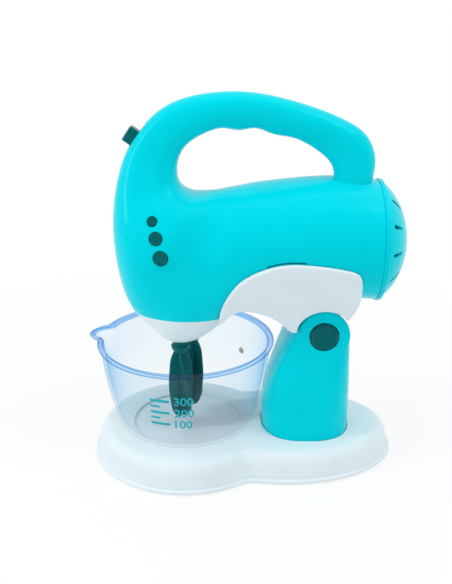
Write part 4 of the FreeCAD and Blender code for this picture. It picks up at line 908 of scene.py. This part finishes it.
cradle = surface("cradle_skin", grid, True, False, False)
tidy(cradle, 50)
saddle = surface("tool", head_grid(-1, 0.4, 200, 96, whole=True), True, True, True)
tidy(saddle)
carve(cradle, [saddle])
tidy(cradle, 45, turn=False)
hub = turned([(-19.2, 12.2), (-18.9, 12.6), (18.9, 12.6), (19.2, 12.2)], PIVOT, (0, 1, 0), 96)
hub = tidy(surface("hub", hub, True, True, True))
neck = tidy(flat_box(38.2, 55.4, -19.2, 19.2, 83, 104))
cradle = joined("cradle_skin", [cradle, hub, neck])
dress(cradle, white, "white_plastic", "cradle", "cradle_arm")

# %% Floor, world and lamps
def seen(tree):
    """One for what the camera sees straight, in a mirror or through glass, and zero for light on the object."""
    path = tree.nodes.new("ShaderNodeLightPath")
    total = path.outputs["Is Camera Ray"]
    for ray in ("Is Glossy Ray", "Is Transmission Ray"):
        larger = tree.nodes.new("ShaderNodeMath")
        larger.operation = "MAXIMUM"
        tree.links.new(total, larger.inputs[0])
        tree.links.new(path.outputs[ray], larger.inputs[1])
        total = larger.outputs["Value"]
    return total


floor_mesh = bpy.data.meshes.new("floor")
turn = np.linspace(0, 2 * np.pi, 64, endpoint=False)
floor_mesh.from_pydata(np.stack([4 * np.cos(turn), 4 * np.sin(turn), 0 * turn], -1).tolist(), [], [range(64)])
floor = bpy.data.objects.new("floor", floor_mesh)
bpy.context.scene.collection.objects.link(floor)
pale = bpy.data.materials.new("pale_floor")
pale.use_nodes = True
tree = pale.node_tree
shader = tree.nodes["Principled BSDF"]
shader.inputs["Base Color"].default_value = (0.9, 0.9, 0.91, 1)
shader.inputs["Roughness"].default_value = 0.8
shader.inputs["Specular IOR Level"].default_value = 0.1
glow = tree.nodes.new("ShaderNodeEmission")
reach = tree.nodes.new("ShaderNodeVectorMath")
reach.operation = "LENGTH"
place = tree.nodes.new("ShaderNodeTexCoord")
fade = tree.nodes.new("ShaderNodeMapRange")
fade.inputs["From Min"].default_value = 0.1
fade.inputs["From Max"].default_value = 0.4
fade.inputs["To Min"].default_value = 0.72
share = tree.nodes.new("ShaderNodeMath")
share.operation = "MULTIPLY"
blend = tree.nodes.new("ShaderNodeMixShader")
tree.links.new(place.outputs["Object"], reach.inputs[0])
tree.links.new(reach.outputs["Value"], fade.inputs["Value"])
tree.links.new(fade.outputs["Result"], share.inputs[0])
tree.links.new(seen(tree), share.inputs[1])
tree.links.new(share.outputs["Value"], blend.inputs["Fac"])
tree.links.new(shader.outputs["BSDF"], blend.inputs[1])
tree.links.new(glow.outputs["Emission"], blend.inputs[2])
tree.links.new(blend.outputs["Shader"], tree.nodes["Material Output"].inputs["Surface"])
floor_mesh.materials.append(pale)

world = bpy.data.worlds.new("studio")
bpy.context.scene.world = world
world.use_nodes = True
tree = world.node_tree
backdrop = tree.nodes["Background"]
backdrop.inputs["Color"].default_value = (1, 1, 1, 1)
dim = tree.nodes.new("ShaderNodeBackground")
dim.inputs["Color"].default_value = (0.96, 0.98, 1, 1)
dim.inputs["Strength"].default_value = 0.63
blend = tree.nodes.new("ShaderNodeMixShader")
tree.links.new(seen(tree), blend.inputs["Fac"])
tree.links.new(dim.outputs["Background"], blend.inputs[1])
tree.links.new(backdrop.outputs["Background"], blend.inputs[2])
tree.links.new(blend.outputs["Shader"], tree.nodes["World Output"].inputs["Surface"])


def lamp(name, place, target, width, height, power):
    """A soft lamp of a width and a height that looks from its place at a target."""
    data = bpy.data.lights.new(name, "AREA")
    data.shape, data.size, data.size_y, data.energy = "RECTANGLE", width, height, power
    thing = bpy.data.objects.new(name, data)
    thing.location = place
    aim = np.subtract(target, place)
    thing.rotation_euler = (math.atan2(math.hypot(aim[0], aim[1]), -aim[2]), 0, math.atan2(-aim[0], aim[1]))
    bpy.context.scene.collection.objects.link(thing)


lamp("overhead", (0, -0.1, 1.25), (0, 0, 0.1), 1.3, 1.3, 3.9)
lamp("streak", (-0.7, -0.2, 0.5), (-0.03, 0, 0.17), 0.03, 0.5, 2)
lamp("corner", (0.42, -0.16, 0.72), (0.05, 0, 0.17), 0.3, 0.3, 1.3)
lamp("front", (0.2, -0.95, 0.3), (0, 0, 0.05), 0.6, 0.4, 0.12)
bpy.context.scene.view_settings.view_transform = "Standard"
